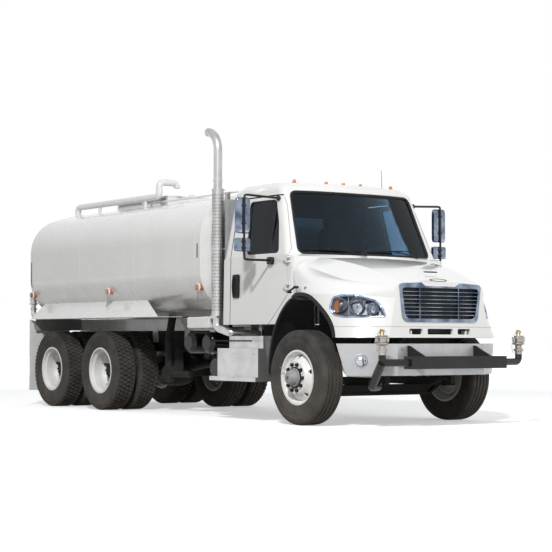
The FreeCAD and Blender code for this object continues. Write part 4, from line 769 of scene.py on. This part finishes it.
def make_seats():
    """Padded seats over the plain ones: cushion, back, head rest and piping."""
    for label, x in (("near", -0.45), ("far", 0.45)):
        bm = bmesh.new()
        rounded_box(bm, (x - 0.262, 0.838, 1.40), (x + 0.262, 1.385, 1.578), 4.5, 9)
        lean = Matrix.Translation((x, 1.40, 1.56)) @ turned(-6, "X")
        rounded_box(bm, (-0.252, -0.105, 0.0), (0.252, 0.075, 0.72), 4.5, 9, lean)
        rounded_box(bm, (-0.15, -0.075, 0.70), (0.15, 0.055, 0.86), 4, 7, lean)
        for shift in (-0.15, 0.15):
            add_tube(bm, [(x + shift, 0.86, 1.552), (x + shift, 1.0, 1.580),
                          (x + shift, 1.2, 1.580), (x + shift, 1.31, 1.571)], 0.004)
        made = piece(f"seat_{label}", bm, "seat_cloth", angle=50)
    bm = bmesh.new()
    for sign in (-1, 1):
        top = Vector((sign * 0.905, 1.415, 2.28))
        low = Vector((sign * 0.73, 1.33, 1.46))
        add_plate(bm, [top + Vector((0, -0.022, 0)), top + Vector((0, 0.022, 0)),
                       low + Vector((0, 0.022, 0)), low + Vector((0, -0.022, 0))],
                  (sign * -0.003, 0, 0))
    piece("seat_belts", bm, "belt_yellow")


# ---------------------------------------------------------------- hood and front
def outward(face):
    """Whether a hood face looks away from the engine."""
    centre = face.calc_center_median()
    away = Vector((centre.x, centre.y + 0.35, 0)).normalized()
    return face.normal.dot(away) > 0.2


def make_hood_lines():
    """The skirt's seam, the crest slot and the badge recess."""
    bm = copy_of("hood")
    keep_faces(bm, outward)
    skin_line(bm, 1.0555, 1.0605, lift=0.0008)
    keep_faces(bm, lambda f: f.calc_center_median().y < -0.42)
    piece("hood_seam", bm, "seam_gray", "hood", weld=False)
    bm = bmesh.new()
    rounded_box(bm, (-0.165, -0.936, 1.637), (0.02, -0.912, 1.651), 6, 5)
    piece("hood_slot", bm, "black_plastic", "hood")
    bm = bmesh.new()
    add_spun(bm, [(0, 0.001), (0, 0.120), (0.010, 0.118), (0.012, 0.108), (0.006, 0.100),
                  (0.006, 0.001)], (0, 0, 0), (0, 0, 1), 48)
    bmesh.ops.scale(bm, vec=(1.0, 0.27, 1.0), verts=bm.verts)
    tilt = Matrix.Translation((0.0, -0.964, 1.550)) @ turned(28, "X")
    bm.transform(tilt)
    piece("badge_recess", bm, "black_plastic", "hood")


def make_grille_backing():
    """Dark mesh behind the grille and dark sheets behind it and the lower slots; the sheets are painted
    shade in the openings.
    """
    bm = bmesh.new()
    # A dark sheet behind the bars: painted shade where the space behind the grille lies in shadow.
    add_box(bm, (-0.520, -0.948, 1.125), (0.520, -0.944, 1.500))
    for number in range(18):
        z = 1.135 + 0.0205 * number
        add_box(bm, (-0.515, -0.953, z), (0.515, -0.948, z + 0.008))
    for number in range(27):
        x = -0.507 + 0.039 * number
        add_box(bm, (x, -0.956, 1.13), (x + 0.005, -0.950, 1.495))
    # A dark sheet behind the lower slots: painted shade.
    add_box(bm, (-0.44, -0.898, 0.992), (0.44, -0.894, 1.065))
    piece("grille_mesh", bm, "grille_dark", "hood")


def make_latches():
    """A rubber latch and a bright stud on each side of the hood."""
    for side, sign, bm in each_side():
        add_tube(bm, [(sign * 1.168, 0.150, 1.436), (sign * 1.176, 0.100, 1.456),
                      (sign * 1.172, 0.030, 1.484)], 0.011)
        add_rod(bm, (sign * 1.130, 0.026, 1.485), (sign * 1.184, 0.026, 1.485), 0.014)
        add_rod(bm, (sign * 1.130, 0.154, 1.435), (sign * 1.178, 0.154, 1.435), 0.012)
        piece(f"hood_latch_{side}", bm, "seal_rubber", "hood")
        bm = bmesh.new()
        add_spun(bm, [(0, 0.001), (0, 0.020), (0.006, 0.018), (0.014, 0.010), (0.016, 0.001)],
                 (sign * 1.138, -0.125, 1.470), (sign, 0, 0.35), 24)
        piece(f"hood_stud_{side}", bm, "bright_chrome", "hood")


def lamp_sheet(sign):
    """The front skin of one headlight."""
    return sheet_of("headlights", (sign * 0.70, -0.71, 0.1), 0.35,
                    lambda c: c.x * sign > 0)


def make_headlights():
    """A clear lens, rim, housing, three bowls and an amber strip on each side."""
    for side, sign in SIDES:
        out = Vector((sign * 0.711, -0.703, 0))
        along = Vector((sign * -0.703, -0.711, 0))
        start = Vector((sign * 1.085, -0.400, 0))
        bm = lamp_sheet(sign)
        line = even_points(outline_of(bm), 0.006)
        thicken(bm, -0.004)
        move(bm, -out * 0.003)
        made = piece(f"head_lens_{side}", bm, "clear_lens", "hood")
        if side == "right":
            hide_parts("headlights")
        bm = bmesh.new()
        add_tube(bm, drawn_in(line, 0.004), 0.0115, smooth=False, closed=True)
        add_tube(bm, drawn_in(line, 0.024, -out * 0.012), 0.006, smooth=False, closed=True)
        piece(f"head_bezel_{side}", bm, "bright_chrome", "hood", angle=60)
        bm = lamp_sheet(sign)
        thicken(bm, -0.003)
        move(bm, -out * 0.086)
        piece(f"head_housing_{side}", bm, "lamp_shell", "hood")
        bm = bmesh.new()
        for u, z, radius, depth in ((0.165, 1.283, 0.074, -0.020), (0.345, 1.275, 0.092, -0.014),
                                    (0.515, 1.240, 0.066, 0.012)):
            centre = start + along * u + Vector((0, 0, z)) + out * depth
            add_spun(bm, [(0.0, 0.014), (0.012, radius * 0.55), (0.034, radius * 0.85),
                          (0.056, radius), (0.058, radius - 0.004), (0.034, radius * 0.8),
                          (0.013, radius * 0.5), (0.004, 0.014)], centre, out, 40)
            add_rod(bm, centre, centre + out * 0.035, 0.012, 0.008, 16)
        for u in (0.255, 0.43):
            foot = start + along * u + Vector((0, 0, 1.175)) - out * 0.025
            add_box(bm, (-0.004, -0.02, 0), (0.004, 0.045, 0.19),
                    Matrix.Translation(foot) @ turned_flat(out))
        piece(f"head_bowls_{side}", bm, "lamp_silver", "hood", angle=50)
        bm = lamp_sheet(sign)
        trim(bm, start + along * 0.150, along)
        thicken(bm, -0.004)
        move(bm, -out * 0.030)
        bmesh.ops.scale(bm, vec=(1, 1, 0.62), verts=bm.verts,
                        space=Matrix.Translation((0, 0, -1.262)))
        piece(f"head_amber_{side}", bm, "amber_lens", "hood")


def turned_flat(out):
    """The rotation about Z that takes +Y to a level direction."""
    return Matrix.Rotation(math.atan2(-out.x, out.y), 4, "Z")


def make_mirrors():
    """Each door's mirror loop, its two heads and their glass."""
    for side, sign in SIDES:
        bm = bmesh.new()
        add_tube(bm, [(sign * 0.972, 0.62, 2.500), (sign * 1.30, 0.635, 2.515),
                      (sign * 1.405, 0.64, 2.520), (sign * 1.420, 0.64, 2.500),
                      (sign * 1.420, 0.64, 2.100), (sign * 1.420, 0.64, 1.820),
                      (sign * 1.405, 0.64, 1.800), (sign * 1.22, 0.62, 1.800),
                      (sign * 1.075, 0.60, 1.800)], 0.013)
        add_ball(bm, (sign * 0.976, 0.62, 2.500), 0.029)
        rounded_box(bm, (sign * 1.047, 0.56, 1.752), (sign * 1.117, 0.66, 1.838), 5, 5)
        for z in (1.93, 2.0, 2.2, 2.4):
            rounded_box(bm, (sign * 1.40, 0.625, z - 0.014), (sign * 1.44, 0.66, z + 0.014), 5, 3)
        made = piece(f"mirror_loop_{side}", bm, "black_paint", f"door_{side}")
        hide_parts(f"mirror_{side}")
        bm = bmesh.new()
        rounded_box(bm, (sign * 1.330, 0.648, 2.090), (sign * 1.510, 0.702, 2.490), 9, 9)
        rounded_box(bm, (sign * 1.320, 0.648, 1.890), (sign * 1.520, 0.702, 2.040), 9, 9)
        piece(f"mirror_heads_{side}", bm, "bright_chrome", f"door_{side}", angle=60)
        bm = bmesh.new()
        rounded_box(bm, (sign * 1.341, 0.6985, 2.102), (sign * 1.499, 0.7045, 2.478), 12, 7)
        rounded_box(bm, (sign * 1.332, 0.6985, 1.900), (sign * 1.508, 0.7045, 2.030), 12, 7)
        piece(f"mirror_glass_{side}", bm, "mirror_glass", f"door_{side}")


def make_bumper_fittings():
    """Fog lamps and bolts in the bumper's face."""
    bm = bmesh.new()
    for sign in (-1, 1):
        out = Vector((sign * 0.61, -0.79, 0))
        centre = Vector((sign * 0.84, -0.70, 0.70))
        add_spun(bm, [(0.104, 0.001), (0.104, 0.050), (0.118, 0.060), (0.138, 0.054),
                      (0.152, 0.034), (0.157, 0.001)], centre, out, 40)
        add_spun(bm, [(0.100, 0.066), (0.100, 0.078), (0.109, 0.076), (0.111, 0.068)],
                 centre, out, 40)
    piece("fog_lamps", bm, "lamp_silver", "chassis", "clear_lens")
    bm = bmesh.new()
    for x in (-0.115, 0.035):
        add_bolts(bm, [(x, -1.0205, 0.855)], (0, -1, 0), 0.016, 0.006)
    for sign in (-1, 1):
        for z in (0.62, 0.83):
            add_bolts(bm, [(sign * 0.545, -1.0205, z)], (0, -1, 0), 0.026, 0.010)
    piece("bumper_bolts", bm, "bright_steel")


def make_spray_fittings():
    """Rings, cam arms, latch levers and lanyards on the front spray heads."""
    levers = bmesh.new()
    rings = bmesh.new()
    cords = bmesh.new()
    for sign in (-1, 1):
        x, y = sign * SPRAY_AXIS[0], SPRAY_AXIS[1]
        for z, radius in ((0.819, 0.054), (0.881, 0.066), (0.943, 0.067), (0.962, 0.056)):
            add_spun(rings, [(-0.006, radius - 0.02), (-0.006, radius - 0.002),
                             (-0.004, radius), (0.004, radius), (0.006, radius - 0.002),
                             (0.006, radius - 0.02)], (x, y, z), (0, 0, 1), 40)
        for ear in (-1, 1):
            rounded_box(rings, (x + ear * 0.056, y - 0.014, 0.895),
                        (x + ear * 0.084, y + 0.014, 0.958), 5, 4)
            add_rod(rings, (x + ear * 0.072, y - 0.022, 0.945),
                    (x + ear * 0.072, y + 0.022, 0.945), 0.006)
        add_rod(levers, (x, y, 0.985), (x, y, 1.012), 0.024, 0.018)
        add_tube(levers, [(x - 0.045, y, 0.985), (x - 0.032, y, 1.016), (x + 0.008, y, 1.028),
                          (x + 0.042, y, 1.004)], 0.006)
        add_rod(levers, (x - 0.012, y - 0.018, 1.012), (x - 0.012, y + 0.018, 1.026), 0.006)
        add_tube(cords, [(x - 0.040, y - 0.01, 1.008), (x - 0.082, y - 0.02, 0.985),
                         (x - 0.102, y - 0.01, 0.90), (x - 0.092, y + 0.01, 0.80),
                         (x - 0.041, y + 0.005, 0.755)], 0.0028)
    piece("spray_rings", rings, "nozzle_steel")
    piece("spray_latches", levers, "brass")
    piece("spray_lanyards", cords, "bright_steel")


def faces_wheel(face):
    """Whether a liner's face looks at the front wheel."""
    centre = face.calc_center_median()
    if not (0.735 < abs(centre.x) < 1.25 and -0.62 < centre.y < 0.68 and centre.z < 1.43):
        return False
    if abs(face.normal.x) > 0.9:
        return abs(centre.x) < 0.79 and face.normal.x * centre.x > 0
    down = Vector((0, -centre.y, 0.45 - centre.z)).normalized()
    return abs(face.normal.x) < 0.35 and face.normal.dot(down) > 0.45


CAB_MIDDLE = Vector((0, 0.95, 1.85))


def faces_cab(face):
    """Whether a face looks into the cab."""
    centre = face.calc_center_median()
    return (abs(centre.x) < 1.09 and 0.15 < centre.y < 1.70 and 1.10 < centre.z < 2.66
            and face.normal.dot((CAB_MIDDLE - centre).normalized()) > 0.30)


def make_liners():
    """Dark liners in the arches and the cab, and aprons by the engine and under the tank."""
    for name, source, body, wanted, finish_name in (
            ("hood_liners", "hood", "hood", faces_wheel, "black_plastic"),
            ("cab_liners", "cab_shell", "chassis", faces_wheel, "black_plastic"),
            ("cab_lining", "cab_shell", "chassis", faces_cab, "cab_lining"),
            ("door_lining_right", "door_right", "door_right", faces_cab, "cab_lining"),
            ("door_lining_left", "door_left", "door_left", faces_cab, "cab_lining")):
        bm = copy_of(source)
        keep_faces(bm, wanted)
        thicken(bm, LINER_GAUGE)
        piece(name, bm, finish_name, body, weld=False)
    engine = bmesh.new()
    rear = bmesh.new()
    for sign in (-1, 1):
        inner, outer = sign * 0.560, sign * 0.563
        add_box(engine, (inner, -0.52, 0.80), (outer, 0.20, 1.26))
        add_box(engine, (inner, 0.20, 0.97), (outer, 1.50, 1.086))
        for y in (-0.38, -0.05):
            add_box(engine, (sign * 0.434, y, 0.93), (sign * 0.56, y + 0.03, 0.936))
        add_box(rear, (sign * 0.430, 4.95, 1.02), (sign * 0.434, 6.266, 1.140))
        add_box(rear, (sign * 0.434, 6.262, 1.040), (sign * 1.16, 6.267, 1.196))
    piece("engine_aprons", engine, "black_plastic")
    piece("rear_aprons", rear, "gray_panel")


# ---------------------------------------------------------------- tank and chassis
def make_tank_trim():
    """Weld seams round the tank, its edge strips and the valve box."""
    bm = bmesh.new()
    for low in (2.020, 3.455, 4.905, 6.235):
        band = copy_of("water_tank")
        skin_line(band, low, low + 0.010, axis=1, lift=0.0022)
        join_in(bm, band)
    box = bmesh.new()
    rounded_box(box, (-1.106, 1.868, 1.046), (-0.800, 2.360, 1.192), 14, 8)
    add_bolts(box, [(-1.104, y, z) for y in (1.91, 2.32) for z in (1.075, 1.165)], (-1, 0, 0),
              0.018, 0.007)
    piece("valve_box", box, "white_paint")
    piece("tank_seams", bm, "white_paint", weld=False)
    for name, low, high, base, top, finish_name in (
            ("tank_strip_front", 1.950, 1.975, 1.880, 2.050, "strip_dark"),
            ("tank_strip_rear", 6.318, 6.342, 1.640, 1.990, "strip_red")):
        bm = copy_of("water_tank")
        keep_faces(bm, lambda f: abs(f.normal.x) > 0.3)
        trim(bm, (0, 0, top), (0, 0, 1))
        trim(bm, (0, 0, base), (0, 0, -1))
        skin_line(bm, low, high, axis=1, lift=0.003)
        piece(name, bm, finish_name, weld=False)


def make_marker_hoods():
    """White hoods and conduit of the tank's marker lamps, and the red lenses."""
    hoods = bmesh.new()
    pipes = bmesh.new()
    for sign in (-1, 1):
        for y in MARKERS:
            add_spun(hoods, [(0.000, 0.037), (0.000, 0.052), (0.014, 0.047), (0.016, 0.037)],
                     (sign * 1.197, y, MARKER_Z), (sign, 0, 0), 32)
        for y in MARKERS[:2]:
            add_tube(pipes, [(sign * 1.199, y, 1.485), (sign * 1.199, y + 0.004, 1.40),
                             (sign * 1.192, y + 0.05, 1.33)], 0.007)
    piece("marker_hoods", hoods, "white_paint")
    piece("marker_conduit", pipes, "gray_panel")
    bm = bmesh.new()
    for sign in (-1, 1):
        add_spun(bm, [(0.0, 0.001), (0.0, 0.036), (0.022, 0.035), (0.026, 0.028),
                      (0.027, 0.001)], (sign * 1.2005, MARKERS[2], MARKER_Z), (sign, 0, 0), 32)
        for shift in (-0.06, 0.06):
            add_spun(bm, [(0.0, 0.001), (0.0, 0.030), (0.010, 0.028), (0.013, 0.001)],
                     (sign * 0.88 + shift, 6.361, 1.020), (0, 1, 0), 28)
    piece("red_lenses", bm, "red_lens")


def make_coaming_faces():
    """Gray side faces of the hatch's coaming, which are painted shade, and its hinges and pulls."""
    # Thin gray boxes on both sides of the coaming: painted shade standing in for its shaded side faces.
    bm = bmesh.new()
    for sign in (-1, 1):
        for low, high in ((4.10, 4.60), (4.72, 5.35)):
            add_box(bm, (sign * 0.3515, low, 2.738), (sign * 0.3555, high, 2.788))
    soften(bm, 0.0015, 1)
    piece("coaming_painted_shade", bm, "gray_panel")
    bm = bmesh.new()
    for y in (4.30, 5.15):
        rounded_box(bm, (-0.372, y - 0.05, 2.776), (-0.352, y + 0.05, 2.826), 6, 3)
        add_rod(bm, (-0.366, y - 0.062, 2.812), (-0.366, y + 0.062, 2.812), 0.008)
    piece("hatch_hinges", bm, "white_paint")
    bm = bmesh.new()
    for y in (4.35, 5.05):
        add_tube(bm, [(0.20, y - 0.07, 2.848), (0.20, y - 0.07, 2.858), (0.20, y, 2.859),
                      (0.20, y + 0.07, 2.858), (0.20, y + 0.07, 2.848)], 0.005)
    piece("hatch_pulls", bm, "bright_steel", "hatch")


def make_stack_fittings():
    """Rows of slots in the stack's guard, drawn as dark patches of painted shade, its clamps and the panel
    beside it.
    """
    x, y = STACK_AXIS
    # Flat dark boxes on the guard stand for its slots: painted shade in the holes.
    slot = bmesh.new()
    for row in range(36):
        z = 1.255 + row * 0.0385
        add_box(slot, (0.0655, -0.0030, z), (0.0682, 0.0030, z + 0.015),
                turned(7.5 * (row % 2), "Z"))
    repeat_round(slot, (0, 0, 1), 24)
    move(slot, (x, y, 0))
    piece("stack_slots", slot, "cast_fitting", "chassis", "chassis_black", weld=False)
    bm = bmesh.new()
    for z in (1.215, 1.98, 2.672):
        add_spun(bm, [(-0.012, 0.067), (-0.012, 0.0715), (0.012, 0.0715), (0.012, 0.067)],
                 (x, y, z), (0, 0, 1), 48)
        add_rod(bm, (x + 0.055, y - 0.055, z), (x + 0.075, y - 0.035, z), 0.007)
    add_spun(bm, [(-0.015, 0.050), (-0.015, 0.0555), (0.015, 0.0555), (0.015, 0.050)],
             (x, y, 2.78), (0, 0, 1), 40)
    piece("stack_clamps", bm, "bright_steel")
    bm = bmesh.new()
    add_box(bm, (-1.000, 1.652, 1.210), (-0.690, 1.676, 2.560))
    add_box(bm, (-0.975, 1.646, 1.240), (-0.960, 1.653, 2.530))
    add_box(bm, (-0.730, 1.646, 1.240), (-0.715, 1.653, 2.530))
    add_box(bm, (-0.840, 1.676, 1.170), (-0.800, 1.716, 2.40))
    soften(bm, 0.003, 2)
    piece("stack_screen", bm, "gray_panel")


def make_step_fittings():
    """Grip slots of the battery step, drawn as dark patches of painted shade, and its bolts."""
    dark = bmesh.new()
    bolts = bmesh.new()
    face = -1.2515
    # Flat dark patches on the step's face and top stand for the grip slots: painted shade in the holes.
    for number in range(11):
        y = 0.735 + number * 0.078
        add_box(dark, (face, y, 0.897), (face + 0.003, y + 0.07, 0.913))
    for y in (0.70, 1.10, 1.54):
        for z in (0.49, 0.76, 0.935):
            add_bolts(bolts, [(-1.2500, y, z)], (-1, 0, 0), 0.016, 0.006)
    for number in range(14):
        y = 0.72 + number * 0.06
        for x in (-1.16, -1.06, -0.96):
            add_box(dark, (x - 0.035, y, 0.9605), (x + 0.035, y + 0.028, 0.9625))
    piece("step_slots", dark, "chassis_black")
    piece("step_bolts", bolts, "bright_steel")


def make_frame_bolts():
    """Bolt heads in fours along the outside of both rails."""
    bm = bmesh.new()
    for sign in (-1, 1):
        x = sign * RAIL_FACE
        for y in (-0.60, -0.30, 0.35, 1.05, 1.75, 2.35, 2.80, 3.35, 3.95, 4.80, 5.25, 6.15):
            add_bolts(bm, [(x, y + dy, z) for dy in (-0.04, 0.04) for z in (0.83, 0.96)],
                      (sign, 0, 0), 0.024, 0.012)
    piece("frame_bolts", bm, "chassis_black")


def make_flap_bolts():
    """Bolts on both faces of the mud flap bracket."""
    bm = bmesh.new()
    for sign in (-1, 1):
        for x in (0.68, 0.86, 1.04, 1.17):
            add_bolts(bm, [(sign * x, 6.278, 1.10)], (0, -1, 0), 0.02, 0.008)
            add_bolts(bm, [(sign * x, 6.3325, 1.10)], (0, 1, 0), 0.02, 0.008)
    piece("flap_bolts", bm, "bright_steel")


# ---------------------------------------------------------------- stage
def seen_rays(tree):
    """1 for the rays that show the background: camera, mirror and glass."""
    rays = node(tree, "ShaderNodeLightPath").outputs
    mirror = combine(tree, rays["Is Camera Ray"], rays["Is Glossy Ray"], "MAXIMUM")
    return combine(tree, mirror, rays["Is Transmission Ray"], "MAXIMUM")


def make_floor():
    """A pale floor that keeps the shadow near the truck and is white far away."""
    bm = bmesh.new()
    bmesh.ops.create_grid(bm, x_segments=1, y_segments=1, size=60)
    mesh = bpy.data.meshes.new("floor")
    bm.to_mesh(mesh)
    bm.free()
    floor = bpy.data.objects.new("floor", mesh)
    bpy.context.scene.collection.objects.link(floor)
    tree, gloss = base_material("floor", (0.93, 0.93, 0.93), 0.9)
    place = node(tree, "ShaderNodeTexCoord").outputs["Object"]
    tone = mix_colour(tree, noise(tree, place, 0.6, 4), (0.90, 0.90, 0.895), (0.93, 0.93, 0.93))
    bounced = node(tree, "ShaderNodeLightPath").outputs["Is Diffuse Ray"]
    distance = node(tree, "ShaderNodeVectorMath", {0: place}, operation="LENGTH")
    far = ramp(tree, distance.outputs["Value"], 9.0, 22.0)
    glow = combine(tree, combine(tree, far, 0.58), 0.42, "ADD")
    for label, value in (
            ("Base Color", mix_colour(tree, bounced, tone, (0.30, 0.28, 0.25))),
            ("Specular IOR Level", 0.1), ("Emission Color", (1.0, 1.0, 1.0)),
            ("Emission Strength", combine(tree, seen_rays(tree), glow))):
        feed(tree, gloss.inputs[label], value)
    mesh.materials.append(FINISHES["floor"])


def make_world():
    """Soft light all round, and plain white where the background is seen."""
    scene = bpy.context.scene
    look = scene.tanker_look
    world = scene.world or bpy.data.worlds.new("studio")
    scene.world = world
    world.use_nodes = True
    tree = world.node_tree
    tree.nodes.clear()
    soft = node(tree, "ShaderNodeBackground", {0: tuple(look.sky_colour), 1: look.sky_strength})
    seen = node(tree, "ShaderNodeBackground", {0: (1.0, 1.0, 1.0), 1: 1})
    blend = node(tree, "ShaderNodeMixShader",
                 {0: seen_rays(tree), 1: soft.outputs[0], 2: seen.outputs[0]})
    feed(tree, node(tree, "ShaderNodeOutputWorld").inputs[0], blend.outputs[0])


def make_stage():
    """Floor, surroundings, three lamps and the camera."""
    scene = bpy.context.scene
    look = scene.tanker_look
    make_floor()
    make_world()
    for name, place, size, share in (("key", (-12.5, -14.0, 13.0), 1.4, 1.0),
                                     ("fill", (5, -16, 4), 9.0, 0.22),
                                     ("top", (0, 2, 14), 12.0, 0.04)):
        data = bpy.data.lights.new(name, "AREA")
        data.energy = look.key_strength * share
        data.size = size
        lamp = bpy.data.objects.new(name, data)
        scene.collection.objects.link(lamp)
        lamp.location = place
        lamp.visible_glossy = name == "key"
        lamp.rotation_euler = (LIGHT_AIM - Vector(place)).to_track_quat("-Z", "Y").to_euler()
    data = bpy.data.cameras.new("view")
    data.sensor_width = 36
    data.lens = look.lens
    data.clip_end = 200
    camera = bpy.data.objects.new("view", data)
    scene.collection.objects.link(camera)
    camera.location = spot(*CAMERA_PLACE)
    camera.rotation_euler = [math.radians(degrees) for degrees in CAMERA_TURN]
    scene.camera = camera
    scene.view_settings.view_transform = "Standard"


# ---------------------------------------------------------------- settings
class TankerLook(bpy.types.PropertyGroup):
    """Colours and light of the whole truck."""

    body_colour: FloatVectorProperty(
        name="Body colour", description="Colour of the white bodywork", subtype="COLOR",
        size=3, min=0, max=1, default=(0.76, 0.76, 0.75))
    sky_colour: FloatVectorProperty(
        name="Sky colour", description="Tint of the soft light around the truck",
        subtype="COLOR", size=3, min=0, max=1, default=(0.94, 0.97, 1.0))
    sky_strength: FloatProperty(
        name="Sky strength", description="Strength of the soft light around the truck",
        min=0, default=0.34)
    key_strength: FloatProperty(
        name="Key light", description="Power of the main lamp", unit="POWER", min=0,
        default=3300)
    lens: FloatProperty(name="Lens", description="Focal length of the camera",
                        unit="CAMERA", min=10, default=103.6)


class TankerWheels(bpy.types.PropertyGroup):
    """Sizes of the wheels' own hardware."""

    nut_circle: FloatProperty(
        name="Nut circle", description="Radius of the ring of wheel nuts",
        unit="LENGTH", subtype="DISTANCE", min=0.05, default=0.143)
    nut_count: IntProperty(name="Nuts", description="Number of nuts on each wheel",
                           min=4, default=10)
    tread_depth: FloatProperty(
        name="Tread depth", description="Depth of the grooves in the tyres",
        unit="LENGTH", subtype="DISTANCE", min=0.002, default=0.014)


# ---------------------------------------------------------------- operators
def make_and_paint():
    make_finishes()
    paint_frame()


class Piece:
    """What every operator here does: it makes its pieces. They run in the order below."""

    def execute(self, context):
        self.make()
        return {"FINISHED"}


class TANKER_OT_finishes(Piece, bpy.types.Operator):
    """Make the finishes and paint the construction"""

    bl_idname = "tanker.finishes"
    bl_label = "Finishes"
    make = staticmethod(make_and_paint)


class TANKER_OT_tyres(Piece, bpy.types.Operator):
    """Ribbed front tyres and block-tread drive tyres"""

    bl_idname = "tanker.tyres"
    bl_label = "Tyres"
    make = staticmethod(make_tyres)


class TANKER_OT_wheels(Piece, bpy.types.Operator):
    """Wheel nuts, hub caps and valves"""

    bl_idname = "tanker.wheels"
    bl_label = "Wheel hardware"
    make = staticmethod(make_wheel_hardware)


class TANKER_OT_seals(Piece, bpy.types.Operator):
    """Rubber round the panes and the bars in the door windows"""

    bl_idname = "tanker.seals"
    bl_label = "Window seals"
    make = staticmethod(make_seals)


class TANKER_OT_wipers(Piece, bpy.types.Operator):
    """Two wipers on the windscreen"""

    bl_idname = "tanker.wipers"
    bl_label = "Wipers"
    make = staticmethod(make_wipers)


class TANKER_OT_roof(Piece, bpy.types.Operator):
    """Aerials and the bases of the roof lamps"""

    bl_idname = "tanker.roof"
    bl_label = "Roof fittings"
    make = staticmethod(make_roof_fittings)


class TANKER_OT_doors(Piece, bpy.types.Operator):
    """Pull handles and rubber stops"""

    bl_idname = "tanker.doors"
    bl_label = "Door fittings"
    make = staticmethod(make_door_fittings)


class TANKER_OT_seats(Piece, bpy.types.Operator):
    """Padded seats, piping and belts"""

    bl_idname = "tanker.seats"
    bl_label = "Seats"
    make = staticmethod(make_seats)


class TANKER_OT_hood_lines(Piece, bpy.types.Operator):
    """Skirt seam, crest slot and badge recess"""

    bl_idname = "tanker.hood_lines"
    bl_label = "Hood lines"
    make = staticmethod(make_hood_lines)


class TANKER_OT_grille_mesh(Piece, bpy.types.Operator):
    """Dark mesh behind the grille, and sheets of painted shade behind it and the slots"""

    bl_idname = "tanker.grille_mesh"
    bl_label = "Grille mesh"
    make = staticmethod(make_grille_backing)


class TANKER_OT_latches(Piece, bpy.types.Operator):
    """Rubber latches and studs on the hood"""

    bl_idname = "tanker.latches"
    bl_label = "Hood latches"
    make = staticmethod(make_latches)


class TANKER_OT_headlights(Piece, bpy.types.Operator):
    """Lenses, bezels, bowls and amber inserts"""

    bl_idname = "tanker.headlights"
    bl_label = "Headlights"
    make = staticmethod(make_headlights)


class TANKER_OT_mirrors(Piece, bpy.types.Operator):
    """Tube loops, bright heads and glass"""

    bl_idname = "tanker.mirrors"
    bl_label = "Mirrors"
    make = staticmethod(make_mirrors)


class TANKER_OT_bumper(Piece, bpy.types.Operator):
    """Fog lamps and bolts"""

    bl_idname = "tanker.bumper"
    bl_label = "Bumper fittings"
    make = staticmethod(make_bumper_fittings)


class TANKER_OT_spray(Piece, bpy.types.Operator):
    """Rings, latches and lanyards of the spray heads"""

    bl_idname = "tanker.spray"
    bl_label = "Spray fittings"
    make = staticmethod(make_spray_fittings)


class TANKER_OT_liners(Piece, bpy.types.Operator):
    """Liners of the arches and the cab, and the aprons"""

    bl_idname = "tanker.liners"
    bl_label = "Arch liners"
    make = staticmethod(make_liners)


class TANKER_OT_tank_trim(Piece, bpy.types.Operator):
    """Weld seams and edge strips"""

    bl_idname = "tanker.tank_trim"
    bl_label = "Tank trim"
    make = staticmethod(make_tank_trim)


class TANKER_OT_markers(Piece, bpy.types.Operator):
    """Hoods, conduit and red lenses"""

    bl_idname = "tanker.markers"
    bl_label = "Marker lamps"
    make = staticmethod(make_marker_hoods)


class TANKER_OT_coaming(Piece, bpy.types.Operator):
    """Gray side faces that are painted shade, and the hinges and pulls of the hatch"""

    bl_idname = "tanker.coaming"
    bl_label = "Coaming"
    make = staticmethod(make_coaming_faces)


class TANKER_OT_stack(Piece, bpy.types.Operator):
    """Guard slots as painted shade, clamps and the screen beside it"""

    bl_idname = "tanker.stack"
    bl_label = "Stack fittings"
    make = staticmethod(make_stack_fittings)


class TANKER_OT_steps(Piece, bpy.types.Operator):
    """Grip slots as painted shade, and bolts of the steps"""

    bl_idname = "tanker.steps"
    bl_label = "Step fittings"
    make = staticmethod(make_step_fittings)


class TANKER_OT_frame_bolts(Piece, bpy.types.Operator):
    """Bolt heads along the frame rails"""

    bl_idname = "tanker.frame_bolts"
    bl_label = "Frame bolts"
    make = staticmethod(make_frame_bolts)


class TANKER_OT_flap_bolts(Piece, bpy.types.Operator):
    """Bolts of the mud flaps"""

    bl_idname = "tanker.flap_bolts"
    bl_label = "Flap bolts"
    make = staticmethod(make_flap_bolts)


class TANKER_OT_stage(Piece, bpy.types.Operator):
    """Floor, lamps and camera"""

    bl_idname = "tanker.stage"
    bl_label = "Stage"
    make = staticmethod(make_stage)


OPERATORS = tuple(Piece.__subclasses__())
SETTINGS = (TankerLook, TankerWheels)


class TANKER_PT_panel(bpy.types.Panel):
    """The truck's pieces, in the order they are made"""

    bl_idname = "TANKER_PT_panel"
    bl_label = "Tanker truck"
    bl_space_type = "VIEW_3D"
    bl_region_type = "UI"
    bl_category = "Tanker"

    def draw(self, context):
        column = self.layout.column()
        for settings in (context.scene.tanker_look, context.scene.tanker_wheels):
            for name in settings.bl_rna.properties.keys():
                if name not in {"rna_type", "name"}:
                    column.prop(settings, name)
        for operator in OPERATORS:
            column.operator(operator.bl_idname)


CLASSES = SETTINGS + OPERATORS + (TANKER_PT_panel,)


def register():
    for cls in CLASSES:
        bpy.utils.register_class(cls)
    bpy.types.Scene.tanker_look = PointerProperty(type=TankerLook)
    bpy.types.Scene.tanker_wheels = PointerProperty(type=TankerWheels)


def unregister():
    del bpy.types.Scene.tanker_wheels
    del bpy.types.Scene.tanker_look
    for cls in reversed(CLASSES):
        bpy.utils.unregister_class(cls)


def main():
    register()
    for operator in OPERATORS:
        name = operator.bl_idname.split(".")[1]
        getattr(bpy.ops.tanker, name)()


if __name__ == "__main__":
    main()
